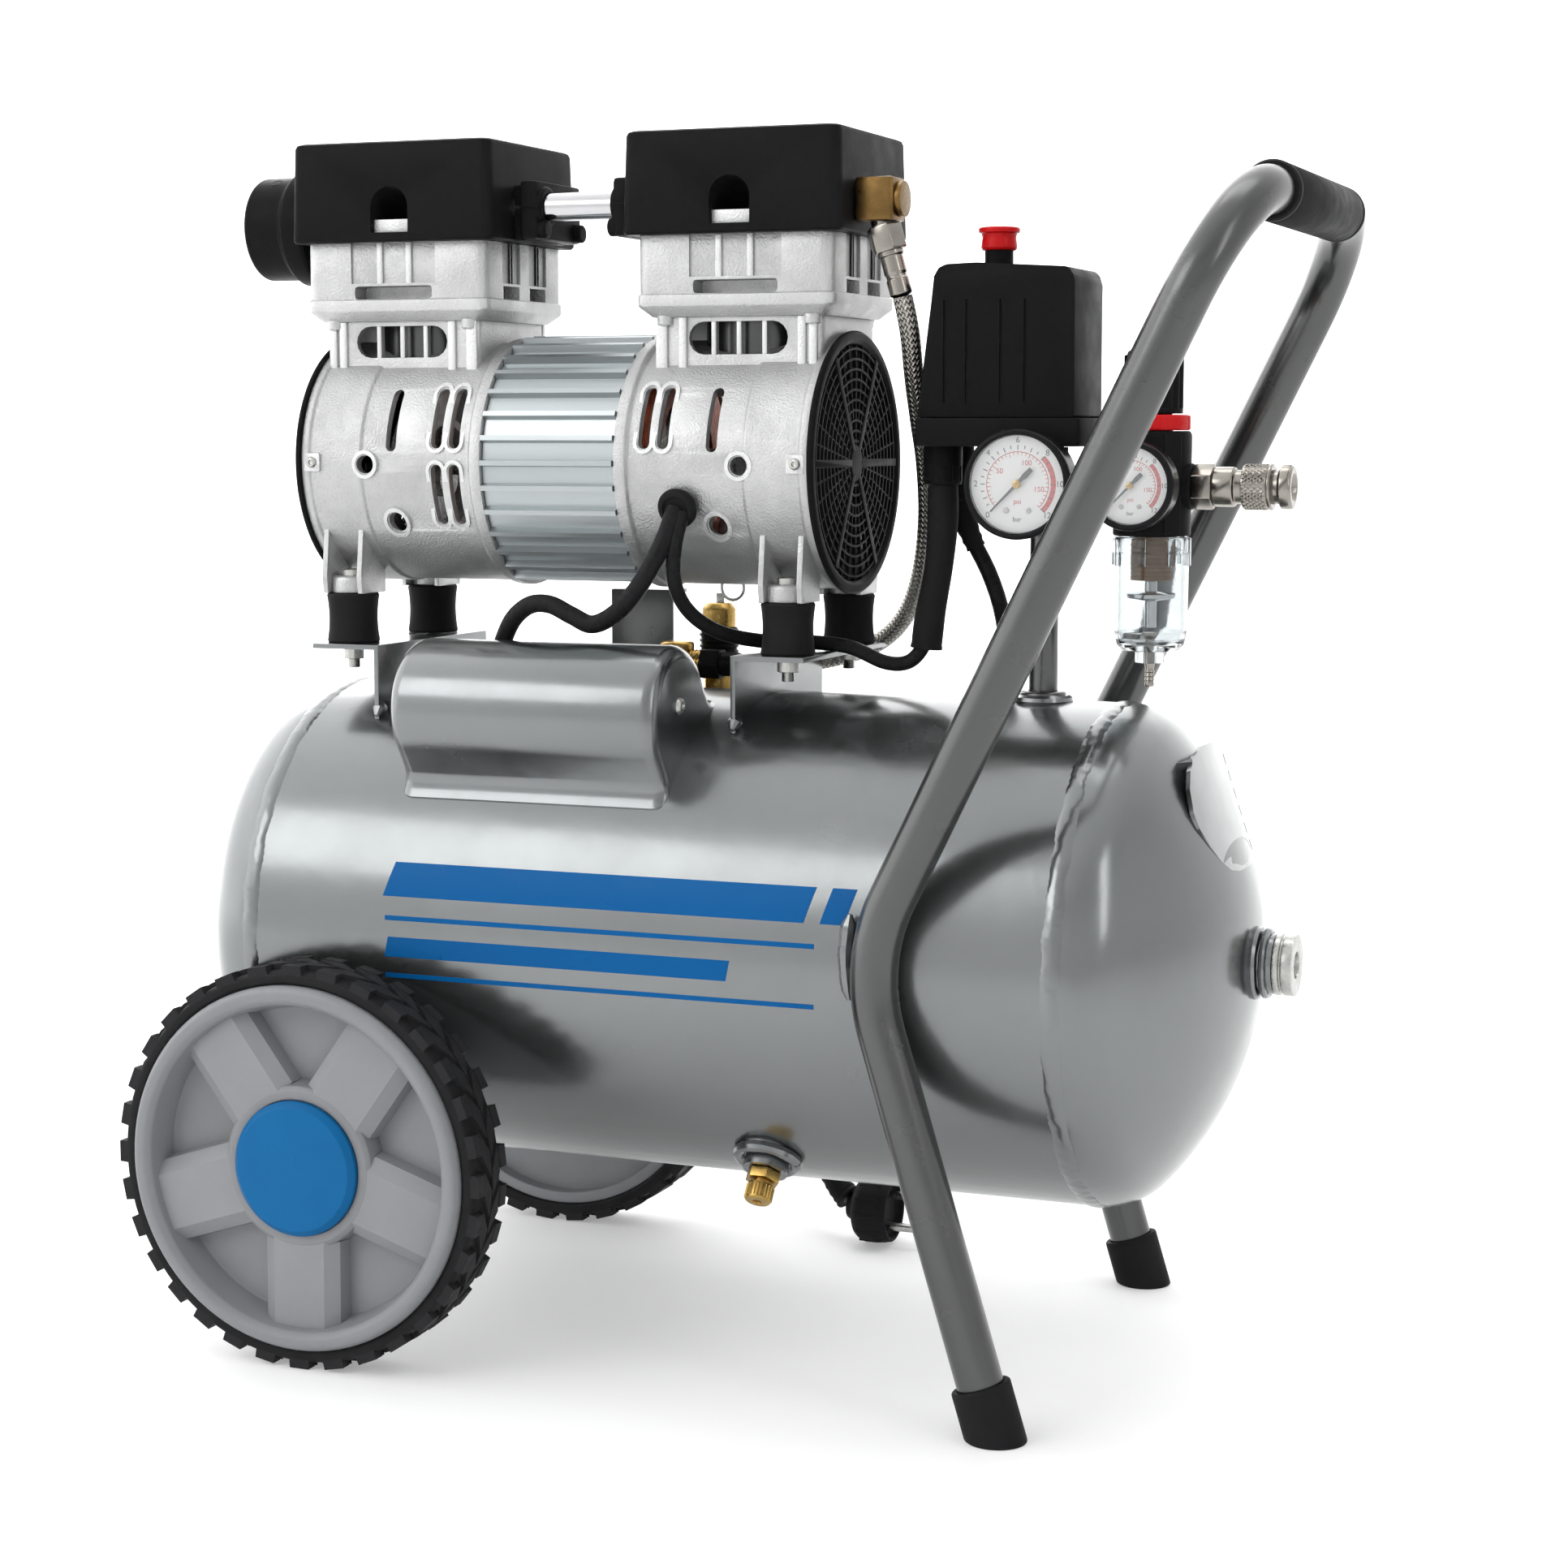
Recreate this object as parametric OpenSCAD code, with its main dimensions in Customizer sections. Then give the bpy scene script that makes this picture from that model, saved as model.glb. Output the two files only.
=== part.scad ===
// Portable twin-cylinder oil-free air compressor on a wheeled 24 litre tank.
// Millimetres, +Z up, floor at z = 0, +X towards the handle, -Y is the gauge side.

/* [Tank] */
// outside diameter of the tank
tank_d = 245; // [220:1:270]
// length of the straight tank shell between the two weld seams
shell_len = 414; // [380:2:460]
// depth of each domed tank end
dome_depth = 68; // [55:1:80]
// height of the tank's axis above the floor
tank_z = 204; // [190:1:220]
// sheet thickness of the tank
tank_wall = 2.5; // [2:0.1:4]

/* [Frame] */
// outside diameter of the bent tube that makes the legs and the handle
tube_d = 22; // [19:0.5:28]
// height of the handle bar's axis above the floor
bar_z = 561.5; // [520:1:600]
// diameter of the soft grip on the bar
grip_d = 27; // [25:0.5:34]

/* [Wheels] */
// outside diameter of each wheel
wheel_d = 200.8; // [180:1:220]
// overall width over both wheels
track = 331.4; // [310:1:350]
// diameter of each axle bolt
axle_d = 12; // [10:1:16]

/* [Pump] */
// height of the motor's axis above the floor
motor_z = 441; // [420:1:460]
// diameter of the cast motor housings
motor_d = 124; // [110:1:130]
// overall length of the motor between its fan guards
motor_len = 282; // [260:1:300]
// distance between the two cylinders
cylinder_gap = 185; // [170:1:200]
// bore of each cylinder
bore_d = 54; // [45:1:60]
// crank throw, which is half of the stroke
throw = 8; // [6:0.5:10]
// height of the top of the black covers above the floor
top_z = 601.4; // [580:1:620]

/* [Air fittings] */
// diameter of the large tank pressure gauge
main_gauge_d = 52; // [40:1:63]
// diameter of the small outlet pressure gauge
outlet_gauge_d = 42; // [40:1:50]
// diameter of the braided hose
hose_d = 9.6; // [8:0.2:12]
// diameter of the mains lead
cord_d = 8; // [7:0.5:10]

/* [Part] */
// sub-part to draw, or all of them

/* [Hidden] */
$fn = 48;
mid = -14.6;                    // x of the tank's middle, which centres the whole part on x = 0
tank_r = tank_d / 2;
shell_h = shell_len / 2;
tube_r = tube_d / 2;
leg_y = tank_r + tube_r + 0.2;
lean = 26.1;                    // lean of the upper legs from upright
splay = 16.9;                   // lean of the lower legs from upright
knee = [mid + 121.9, 216.8];
knee_r = 85;
corner_r = 55;
bar_x = knee[0] + (bar_z - knee[1]) * tan(lean);
wheel_x = mid - 160.9;
wheel_r = wheel_d / 2;
wheel_z = wheel_r;
motor_mid = mid - 70;
motor_r = motor_d / 2;
motor_h = motor_len / 2;
cyl_x = cylinder_gap / 2;
mount_x = 120.5;
mount_y = 43;
plate_z = 348.5;                // top of the two mount brackets
valve_y = 50;                   // check valve, on the far side of the tank's top
valve_x = mid - 52;
port_z = 432;                   // height of the gauges, regulator and coupler
riser_x = mid + 167;
reg_x = mid + 220;
out_z = 430.6;
switch_z = 449.2;
drain_tilt = 37.8;
cord_r = cord_d / 2;
coil_c = [mid - 40, 346];
coil_r = 44;
// colours
paint = [0.60, 0.61, 0.62];
tube_paint = [0.45, 0.46, 0.47];
alloy = [0.75, 0.75, 0.74];
black = [0.07, 0.07, 0.07];
grey = [0.55, 0.56, 0.57];
blue = [0.11, 0.46, 0.73];
red = [0.78, 0.08, 0.08];
brass = [0.72, 0.55, 0.25];
nickel = [0.78, 0.77, 0.74];
// route points of the free and fixed hoses and leads
hose_route = [
  [101.4, -22, 521], [104, -19, 504], [103.4, -10, 482], [101.5, 4, 462], [100, 18, 440],
  [97, 30, 412], [88, 45, 382], [74, 59, 360], [55, 68, 346], [30, 69, 338],
  [8, 63, 335], [-6, 54, 335], [-13, 50, 335]
];
thick_route = [
  [-1, -62, 419], [-3, -71, 404], [-12, -76, 385], [-26, -74, 370], [-40, -73, 363],
  [-52, -72, 367], [-64, -71, 372], [-76, -69, 371.5], [-87, -66, 364], [-95, -62, 352],
  [-97, -61, 345]
];
thin_route = [
  [3, -62, 417], [2, -69, 402], [1, -68, 385], [4, -58, 370], [14, -44, 359],
  [30, -26, 353.6], [50, -16, 353], [72, -15, 351], [90, -14, 344], [101, -11, 344],
  [108, -9.5, 351], [110, -9, 360]
];
sleeve_route = [[118, -9, 430.8], [118, -9, 412], [116, -9, 390], [112, -9, 368], [110, -9, 351]];
lead_route = [
  [119, 13, 430.8], [120, 13, 420], [126, 13.5, 404], [134, 15, 388], [139, 19, 371],
  [139, 29, 353], [134, 44, 336], [127, 62, 319], [119, 82, 303], [111, 99, 285],
  [103, 113, 264], [96, 123, 237], [90, 129, 208], [85, 134, 180], [79, 141, 152],
  [72, 151, 124], [62, 165, 98], [49, 184, 74], [35, 208, 54], [23, 236, 39], [12, 269, 30],
  [6, 307, 29], [4, 346, 32.2]
];
tail_route = [
  [-84, 346, 4.2], [-84, 326, 4.4], [-82, 304, 6], [-78, 282, 12], [-71, 258, 20],
  [-61, 236, 28], [-48, 214, 36], [-34, 194, 42], [-20, 178, 43], [-8, 166, 38], [2, 159, 30],
  [10, 156, 24]
];

// ---- small helpers ----
function unit(v) = v / norm(v);
function blend(a, b, c, d, t) =
  0.5 * ((2 * b) + (c - a) * t + (2 * a - 5 * b + 4 * c - d) * t * t + (3 * b - a - 3 * c + d) * t * t * t);
function smooth(p, k) = concat(
  [for (i = [0:len(p) - 2]) for (j = [0:k - 1])
    blend(p[max(i - 1, 0)], p[i], p[i + 1], p[min(i + 2, len(p) - 1)], j / k)],
  [p[len(p) - 1]]);
function ways(p) = [for (i = [0:len(p) - 1]) unit(p[min(i + 1, len(p) - 1)] - p[max(i - 1, 0)])];
function sides_of(t, i, last, found) = i == len(t) ? found :
  let (n = unit(last - (last * t[i]) * t[i])) sides_of(t, i + 1, n, concat(found, [n]));
// round tube of radius r along the points p
module sweep(p, r, sides = 10) {
  t = ways(p);
  n = sides_of(t, 0, [0.31, 0.93, 0.17], []);
  rings = [for (i = [0:len(p) - 1]) for (k = [0:sides - 1])
    p[i] + r * (cos(360 * k / sides) * n[i] + sin(360 * k / sides) * cross(t[i], n[i]))];
  walls = [for (i = [0:len(p) - 2]) for (k = [0:sides - 1]) for (h = [0, 1])
    let (a = i * sides + k, b = i * sides + (k + 1) % sides)
    h == 0 ? [a, a + sides, b] : [b, a + sides, b + sides]];
  first = [for (k = [0:sides - 1]) k];
  last = [for (k = [sides - 1:-1:0]) (len(p) - 1) * sides + k];
  polyhedron(rings, concat([first], walls, [last]), convexity = 6);
}
module along_x(x0, x1, r, z = 0, y = 0) {
  translate([x0, y, z]) rotate([0, 90, 0]) cylinder(h = x1 - x0, r = r);
}
module along_y(y0, y1, r, x = 0, z = 0) {
  translate([x, y1, z]) rotate([90, 0, 0]) cylinder(h = y1 - y0, r = r);
}
module hex_x(x0, x1, flats, z = 0, y = 0) {
  translate([x0, y, z]) rotate([0, 90, 0]) cylinder(h = x1 - x0, r = flats / sqrt(3), $fn = 6);
}
module hex_z(z0, z1, flats) {
  translate([0, 0, z0]) cylinder(h = z1 - z0, r = flats / sqrt(3), $fn = 6);
}
module ring_z(z0, z1, r1, r0) {
  translate([0, 0, z0]) difference() {
    cylinder(h = z1 - z0, r = r1);
    translate([0, 0, -1]) cylinder(h = z1 - z0 + 2, r = r0);
  }
}
module both_sides() {
  children();
  mirror([0, 1, 0]) children();
}
// left end of the motor as drawn, and its mirror image on the right
module motor_end(right) {
  translate([motor_mid, 0, motor_z]) mirror([right ? 0 : 1, 0, 0]) children();
}
module both_motor_ends() {
  motor_end(false) children();
  motor_end(true) children();
}
module tank_void() {
  translate([mid, 0, tank_z]) rotate([0, 90, 0])
    cylinder(h = shell_len + 2, r = tank_r + 0.02, center = true, $fn = 128);
}
// frame turned so that +Z points away from the tank's axis, tilt degrees towards -Y
module on_tank(tilt) {
  translate([mid, 0, tank_z]) rotate([tilt, 0, 0]) children();
}

// ---- tank ----
knuckle_r = 35;
function crown_r(r, h) = let (q = r - knuckle_r)
  (q * q + h * h - knuckle_r * knuckle_r) / (2 * (h - knuckle_r));
// outline of a domed end from its rim to its pole, as [radius, distance from the seam]
function dome(r, h) = let (c = crown_r(r, h), q = r - knuckle_r, a = asin(q / (c - knuckle_r)))
  concat(
    [for (k = [0:8]) let (b = (90 - a) * k / 8) [q + knuckle_r * cos(b), knuckle_r * sin(b)]],
    [for (k = [1:8]) let (b = a * (1 - k / 8)) [c * sin(b), h - c + c * cos(b)]]);
module dome_end() {
  out = dome(tank_r, dome_depth);
  inn = dome(tank_r - tank_wall, dome_depth - tank_wall);
  back = [for (k = [len(inn) - 1:-1:0]) inn[k]];
  rotate([0, 90, 0]) rotate_extrude($fn = 96) polygon(concat(out, back));
  rotate([0, 90, 0]) difference() {
    union() {
      translate([0, 0, -12]) cylinder(h = 12.5, r = tank_r - tank_wall - 0.2, $fn = 96);
      cylinder(h = 3, r = tank_r - 1.5, $fn = 96);
    }
    translate([0, 0, -13]) cylinder(h = 18, r = tank_r - 2 * tank_wall, $fn = 96);
  }
}
module tank_shell() color(paint) {
  difference() {
    union() {
      translate([mid, 0, tank_z]) rotate([0, 90, 0])
        cylinder(h = shell_len, r = tank_r, center = true, $fn = 128);
      on_tank(180 - drain_tilt) translate([53, 0, tank_r - 1]) cylinder(h = 4, r = 16);
      on_tank(180 - drain_tilt) translate([53, 0, tank_r]) cylinder(h = 9, r = 11);
      translate([valve_x, valve_y, 300]) cylinder(h = 22, r = 12);
      translate([mid - 34, 72, 292]) cylinder(h = 24, r = 9);
    }
    translate([mid, 0, tank_z]) rotate([0, 90, 0])
      cylinder(h = shell_len + 2, r = tank_r - tank_wall, center = true, $fn = 128);
    translate([riser_x, 0, 310]) cylinder(h = 30, r = 7.2);
    on_tank(180 - drain_tilt) translate([53, 0, tank_r - 6]) cylinder(h = 20, r = 5);
    translate([valve_x, valve_y, 290]) cylinder(h = 40, r = 6.1);
    translate([mid - 34, 72, 280]) cylinder(h = 40, r = 5.1);
  }
}
module tank_heads() color(paint) {
  difference() {
    union() {
      translate([mid + shell_h, 0, tank_z]) dome_end();
      along_x(mid + shell_h + dome_depth - 3, mid + shell_h + dome_depth + 9.5, 14.5, tank_z);
    }
    along_x(mid + shell_h + dome_depth - 9, mid + shell_h + dome_depth + 11, 9, tank_z);
  }
  translate([mid - shell_h, 0, tank_z]) mirror([1, 0, 0]) dome_end();
}
module front_plug() color(nickel) difference() {
  end_x = mid + shell_h + dome_depth;
  union() {
    along_x(end_x - 2, end_x + 9.8, 8.95, tank_z);
    along_x(end_x + 9.6, end_x + 19, 15, tank_z);
  }
  hex_x(end_x + 9, end_x + 20, 10, tank_z);
}
module drain_cock() color(brass) on_tank(180 - drain_tilt) translate([53, 0, tank_r]) {
  cylinder(h = 10, r = 4.95);
  hex_z(9.3, 15, 15);
  difference() {
    translate([0, 0, 14.5]) cylinder(h = 10.5, r = 6.6);
    for (a = [0:30:330]) rotate([0, 0, a]) translate([7.2, 0, 17]) cylinder(h = 9, r = 1.1, $fn = 16);
  }
}
// bent plate with six slots, on two ribs that stand on the front end of the tank
module data_plate_bracket() color(tube_paint) difference() {
  translate([mid + 249.2, 0, tank_z + 104.7]) rotate([0, -18.3, 0]) {
    intersection() {
      translate([-180, 0, -70]) difference() {
        cylinder(h = 80, r = 180, $fn = 144);
        translate([0, 0, -1]) cylinder(h = 82, r = 178, $fn = 144);
      }
      translate([-30, 0, 0]) rotate([90, 0, 90]) linear_extrude(40) difference() {
        polygon([
          [49, 0], [-12, 0], [-24, -3], [-34, -9], [-40, -17], [-43, -28], [-42, -36], [-37, -46], [-30, -55],
          [-22, -60], [-12, -62], [40, -62], [49, -58]]);
        for (k = [0:5]) translate([33, -13.5 - 8.8 * k]) square([11, 5.6]);
      }
    }
    for (y = [-28, 26]) translate([-17, y, -46]) cube([14, 2, 42]);
  }
  translate([mid + shell_h, 0, tank_z]) rotate([0, 90, 0]) rotate_extrude($fn = 96)
    polygon(concat([[0, -1], [tank_r + 0.1, -1]], dome(tank_r + 0.1, dome_depth + 0.1)));
}

// ---- legs, handle and wheels ----
knee_turn = lean + splay;
knee_cut = knee_r * tan(knee_turn / 2);
foot_z = 8;
foot_x = knee[0] + (knee[1] - foot_z) * tan(splay);
// middle line of the near half of the bent tube, from the foot to the start of the bar
knee_c = [knee[0] + knee_cut * sin(splay) + knee_r * cos(splay),
          knee[1] - knee_cut * cos(splay) + knee_r * sin(splay)];
near_half = concat(
  [[foot_x, -leg_y, foot_z]],
  [for (k = [0:8]) let (a = 180 + splay - knee_turn * k / 8)
    [knee_c[0] + knee_r * cos(a), -leg_y, knee_c[1] + knee_r * sin(a)]],
  [for (k = [0:9]) let (a = 10 * k, down = corner_r * (1 - sin(a)))
    [bar_x - down * sin(lean), -leg_y + corner_r * (1 - cos(a)), bar_z - down * cos(lean)]]);
module handle_frame() color(tube_paint)
  sweep(concat(near_half, [for (k = [len(near_half) - 1:-1:0])
    [near_half[k][0], -near_half[k][1], near_half[k][2]]]), tube_r, 32);
module handle_grip() color(black) difference() {
  along_y(-leg_y + corner_r + 1, leg_y - corner_r - 1, grip_d / 2, bar_x, bar_z);
  along_y(-leg_y, leg_y, tube_r + 0.02, bar_x, bar_z);
}
module foot_caps() color(black) both_sides() difference() {
  translate([foot_x, -leg_y, foot_z]) rotate([0, -splay, 0]) translate([0, 0, -16])
    cylinder(h = 34, r = tube_r + 3);
  translate([foot_x, -leg_y, foot_z]) rotate([0, -splay, 0])
    cylinder(h = 40, r = tube_r + 0.02);
  translate([foot_x - 40, -leg_y - 40, -40]) cube([80, 80, 40]);
}
module wheel_brackets() color(tube_paint) both_sides() difference() {
  union() {
    translate([wheel_x - 20, -126, 80]) cube([40, 4, 66]);
    for (x = [-20, 16]) translate([wheel_x + x, -125, 80]) cube([4, 80, 66]);
  }
  tank_void();
  along_y(-130, -118, axle_d / 2 + 0.1, wheel_x, wheel_z);
}
// drawn on the near side: the front face of the rim is at -track / 2
front_y = -track / 2;
module wheel_body() difference() {
  union() {
    difference() {
      along_y(front_y, front_y + 33, wheel_r - 10, wheel_x, wheel_z);
      along_y(front_y - 1, front_y + 13, wheel_r - 19, wheel_x, wheel_z);
      along_y(front_y + 18, front_y + 40, wheel_r - 16, wheel_x, wheel_z);
    }
    intersection() {
      along_y(front_y + 2, front_y + 15, wheel_r - 15, wheel_x, wheel_z);
      for (k = [0:4]) translate([wheel_x, 0, wheel_z]) rotate([0, 72 * k + 90, 0])
        translate([0, front_y + 2, -19]) cube([wheel_r, 13, 38]);
    }
    along_y(front_y + 1.5, front_y + 20, 36, wheel_x, wheel_z);
    along_y(front_y + 15, front_y + 38.4, 20, wheel_x, wheel_z);
  }
  along_y(front_y - 1, front_y + 7.8, 33.8, wheel_x, wheel_z);
  along_y(front_y, front_y + 15.4, 13, wheel_x, wheel_z);
  along_y(front_y, front_y + 50, axle_d / 2 + 0.05, wheel_x, wheel_z);
}
module tyre_body() difference() {
  along_y(front_y + 4.6, front_y + 34.4, wheel_r, wheel_x, wheel_z);
  along_y(front_y, front_y + 40, wheel_r - 9.98, wheel_x, wheel_z);
}
module cap_body() difference() {
  along_y(front_y + 2, front_y + 7.6, 33.6, wheel_x, wheel_z);
  along_y(front_y + 4, front_y + 9, 30, wheel_x, wheel_z);
}
module wheel_near() color(grey) wheel_body();
module tyre_near() color(black) tyre_body();
module wheel_cap_near() color(blue) cap_body();
module wheel_far() color(grey) mirror([0, 1, 0]) wheel_body();
module tyre_far() color(black) mirror([0, 1, 0]) tyre_body();
module wheel_cap_far() color(blue) mirror([0, 1, 0]) cap_body();

// ---- motor mounts ----
module mount_brackets() color(tube_paint) difference() {
  for (s = [-1, 1]) translate([motor_mid, 0, 0]) mirror([s < 0 ? 1 : 0, 0, 0]) {
    translate([97, -60, plate_z - 2.5]) cube([38, 120, 2.5]);
    translate([97, -60, 290]) cube([2.5, 120, plate_z - 291]);
  }
  tank_void();
  for (s = [-1, 1]) both_sides()
    translate([motor_mid + s * mount_x, mount_y, 330]) cylinder(h = 30, r = 3.3);
}
module rubber_mounts() color(black) for (s = [-1, 1]) both_sides()
  translate([motor_mid + s * mount_x, mount_y, 0]) ring_z(plate_z + 0.1, 373.9, 13.5, 3.02);
module fasteners() color(nickel) {
  for (s = [-1, 1]) both_sides() translate([motor_mid + s * mount_x, mount_y, 0]) {
    translate([0, 0, plate_z - 13]) cylinder(h = 51, r = 3);
    hex_z(plate_z - 8.4, plate_z - 2.6, 10);
    hex_z(381.1, 386, 10);
  }
  both_sides() {
    along_y(-157.4, -112, axle_d / 2, wheel_x, wheel_z);
    translate([wheel_x, -150.6, wheel_z]) rotate([90, 0, 0]) hex_z(0, 7, 18);
    translate([wheel_x, -112, wheel_z]) rotate([90, 0, 0]) hex_z(0, 9.8, 18);
  }
}
module capacitor_cover() color(paint) difference() {
  on_tank(33.8) {
    translate([-134, -34, 108]) cube([143, 68, 32]);
    along_x(-134, 9, 34, 140);
    translate([-134, -42, 108]) cube([143, 84, 11.6]);
  }
  on_tank(33.8) {
    translate([-132.4, -32.4, 100]) cube([139.8, 64.8, 40]);
    along_x(-132.4, 7.4, 32.4, 140);
  }
  tank_void();
  translate([mid - 97, -61, 330]) cylinder(h = 40, r = 5.8);
  on_tank(33.8) along_x(5, 12, 2.6, 140);
}
module run_capacitor() color(alloy) on_tank(33.8) {
  along_x(-118, -14, 22, 145.6);
  along_x(-14, -8, 8, 145.6);
}

// ---- motor ----
// half of a housing is drawn for the right end of the motor, with x from the motor's middle
module housing_body(cable_hole) difference() {
  union() {
    along_x(36.4, 42.4, motor_r + 1);
    along_x(42.4, motor_h - 36, motor_r - 1);
    along_x(motor_h - 36, motor_h - 3.1, motor_r);
    translate([cyl_x - 43.5, -38, 30]) cube([87, 76, 512 - motor_z - 30]);
    for (s = [-1, 1]) translate([mount_x - 14, s * mount_y - 13, 374 - motor_z]) cube([28, 26, 7]);
    for (s = [-1, 1]) for (x = [-14, 10]) translate([mount_x + x, s * mount_y - 11, 374 - motor_z])
      cube([4, 22, 30]);
  }
  along_x(46, motor_h - 6, motor_r - 4);
  along_x(30, 60, motor_r - 5);
  along_x(motor_h - 20, motor_h, motor_r - 4);
  translate([cyl_x, 0, 20]) cylinder(h = 80, r = bore_d / 2 + 3.05);
  translate([cyl_x - 37, -32, 44]) cube([74, 64, 25]);
  for (x = [-18.5, 0, 18.5]) translate([cyl_x + x - 7.5, -60, 55.5]) cube([15, 120, 14]);
  for (s = [-1, 1]) translate([mount_x, s * mount_y, -80]) cylinder(h = 40, r = 3.3);
  // cooling slots and the two ringed holes of the near side
  for (z = [-16, 22]) for (x = [49, 59]) translate([x, -80, z - 14]) cube([5.5, 40, 28]);
  translate([84, -80, 6]) cube([7, 40, 30]);
  for (p = [[102, -1], [88, -30]]) along_y(-80, -40, 5, p[0], p[1]);
  if (cable_hole) translate([70, -56.6, -20]) rotate([72, 0, 0]) cylinder(h = 30, r = 7.5, center = true);
}
// spiders that carry the shaft on both sides of the crank
module bearings() difference() {
  intersection() {
    union() {
      translate([66, -60, -9]) cube([7, 120, 18]);
      translate([112, -60, -9]) cube([6, 120, 18]);
      along_x(66, 73, 15);
      along_x(112, 118, 15);
    }
    along_x(60, 130, motor_r - 3.5);
  }
  along_x(60, 130, 7.05);
}
module housing_left() color(alloy) motor_end(false) {
  housing_body(false);
  bearings();
}
module housing_right() color(alloy) motor_end(true) {
  housing_body(true);
  bearings();
}
module cylinder_sleeves() color(nickel) both_motor_ends() translate([cyl_x, 0, -motor_z])
  ring_z(492, 531.8, bore_d / 2 + 3, bore_d / 2 + 0.05);
module cylinder_heads() color(alloy) both_motor_ends() translate([cyl_x, 0, -motor_z]) difference() {
  union() {
    translate([-52, -45.5, 512.1]) cube([104, 91, 11]);
    translate([-51, -44.5, 523]) cube([102, 89, 28.4]);
    translate([-38, -43, 551]) cube([76, 86, 10]);
  }
  translate([0, 0, 505]) cylinder(h = 27, r = bore_d / 2 + 3.05);
  translate([-22, -60, 523]) cube([46, 34, 7]);
  translate([-22, 26, 523]) cube([46, 34, 7]);
  for (s = [-1, 1]) for (y = [-24, 6]) translate([s > 0 ? 36 : -60, y, 523]) cube([24, 18, 7]);
  for (x = [-25, -9, 7, 23]) both_sides() translate([x, -46, 531]) cube([2.5, 3, 19]);
  for (s = [-1, 1]) both_sides() translate([s * 44, -38, 540]) cylinder(h = 20, r = 2.6, $fn = 24);
}
// black plastic covers; the left one also carries the intake port
module top_cover() difference() {
  translate([-57, -50, 551.5]) cube([114, 100, top_z - 551.5]);
  translate([-54, -47, 550]) cube([108, 94, top_z - 553.5]);
  along_y(-60, -40, 10.8, 0, 567.5);
  translate([-10.8, -60, 550]) cube([21.6, 20, 17.5]);
}
module top_covers() color(black) difference() {
  both_motor_ends() translate([cyl_x, 0, -motor_z]) top_cover();
  along_x(mid - 240, mid - 210, 11.1, 562.5);
  along_x(motor_mid - 60, motor_mid + 60, 7.3, 568.5, -17);
  along_x(mid + 60, mid + 90, 6.1, 567, -22);
}
module stator_shell() color(alloy) motor_end(true) rotate([0, 90, 0]) translate([0, 0, -36.2])
  linear_extrude(72.4) difference() {
    union() {
      circle(r = 60, $fn = 128);
      for (k = [0:31]) rotate(k * 11.25) translate([55, -1.5]) square([9, 3]);
    }
    circle(r = 57, $fn = 96);
  }
module stator() color([0.45, 0.28, 0.16]) motor_end(true) {
  difference() {
    along_x(-36, 36, 56.9);
    along_x(-40, 40, 28.6);
    for (k = [0:11]) rotate([30 * k, 0, 0]) translate([-40, -2, 28]) cube([80, 4, 14]);
  }
  for (x = [-49, 36.2]) difference() {
    along_x(x, x + 12.8, 52);
    along_x(x - 1, x + 14, 34);
  }
}
module guard_plate() difference() {
  union() {
    difference() {
      along_x(motor_h - 3, motor_h, motor_r + 2.9);
      along_x(motor_h - 5, motor_h + 1, motor_r - 5);
    }
    for (r = [14, 26, 38, 50]) difference() {
      along_x(motor_h - 3, motor_h - 0.5, r);
      along_x(motor_h - 5, motor_h + 1, r - 2.4);
    }
    along_x(motor_h - 3, motor_h - 0.5, 7);
    for (k = [0:11]) rotate([30 * k, 0, 0]) translate([motor_h - 3, -1.1, 4]) cube([2.5, 2.2, motor_r - 7]);
  }
  along_x(motor_h - 5, motor_h - 1.5, 4.2);
}
module fan_guards() color(black) both_motor_ends() guard_plate();
module rotor() color(nickel) motor_end(true) {
  along_x(-131, 131, 7);
  along_x(-35.5, 35.5, 28);
  translate([0, 0, throw]) along_x(cyl_x - 5.8, cyl_x + 5.8, 10.2);
  translate([0, 0, -throw]) along_x(-cyl_x - 5.8, -cyl_x + 5.8, 10.2);
  intersection() {
    along_x(cyl_x + 6, cyl_x + 12, 30);
    translate([cyl_x, -30, -30]) cube([20, 60, 24]);
  }
  intersection() {
    along_x(-cyl_x - 12, -cyl_x - 6, 30);
    translate([-cyl_x - 20, -30, 6]) cube([20, 60, 24]);
  }
}
module cooling_fans() color(black) both_motor_ends() difference() {
  union() {
    along_x(119, 130, 13);
    for (k = [0:8]) rotate([40 * k, 0, 0]) translate([120, -1, 10]) cube([9, 2, 40]);
    difference() {
      along_x(119, 121, 50);
      along_x(118, 122, 42);
    }
  }
  along_x(110, 140, 7.02);
}
// piston with its rod, from the crank's centre; the big-end ring is wide, so the crank turns clear
module piston_body() union() {
  translate([0, 0, 504 - motor_z]) cylinder(h = 14, r = bore_d / 2 - 0.04);
  difference() {
    union() {
      along_x(-5, 5, 31);
      translate([-5, -9, 25]) cube([10, 18, 504 - motor_z - 24]);
    }
    along_x(-6, 6, 27);
  }
}
module piston_left() color(alloy) translate([motor_mid - cyl_x, 0, motor_z - throw]) piston_body();
module piston_right() color(alloy) translate([motor_mid + cyl_x, 0, motor_z + throw]) piston_body();

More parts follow.
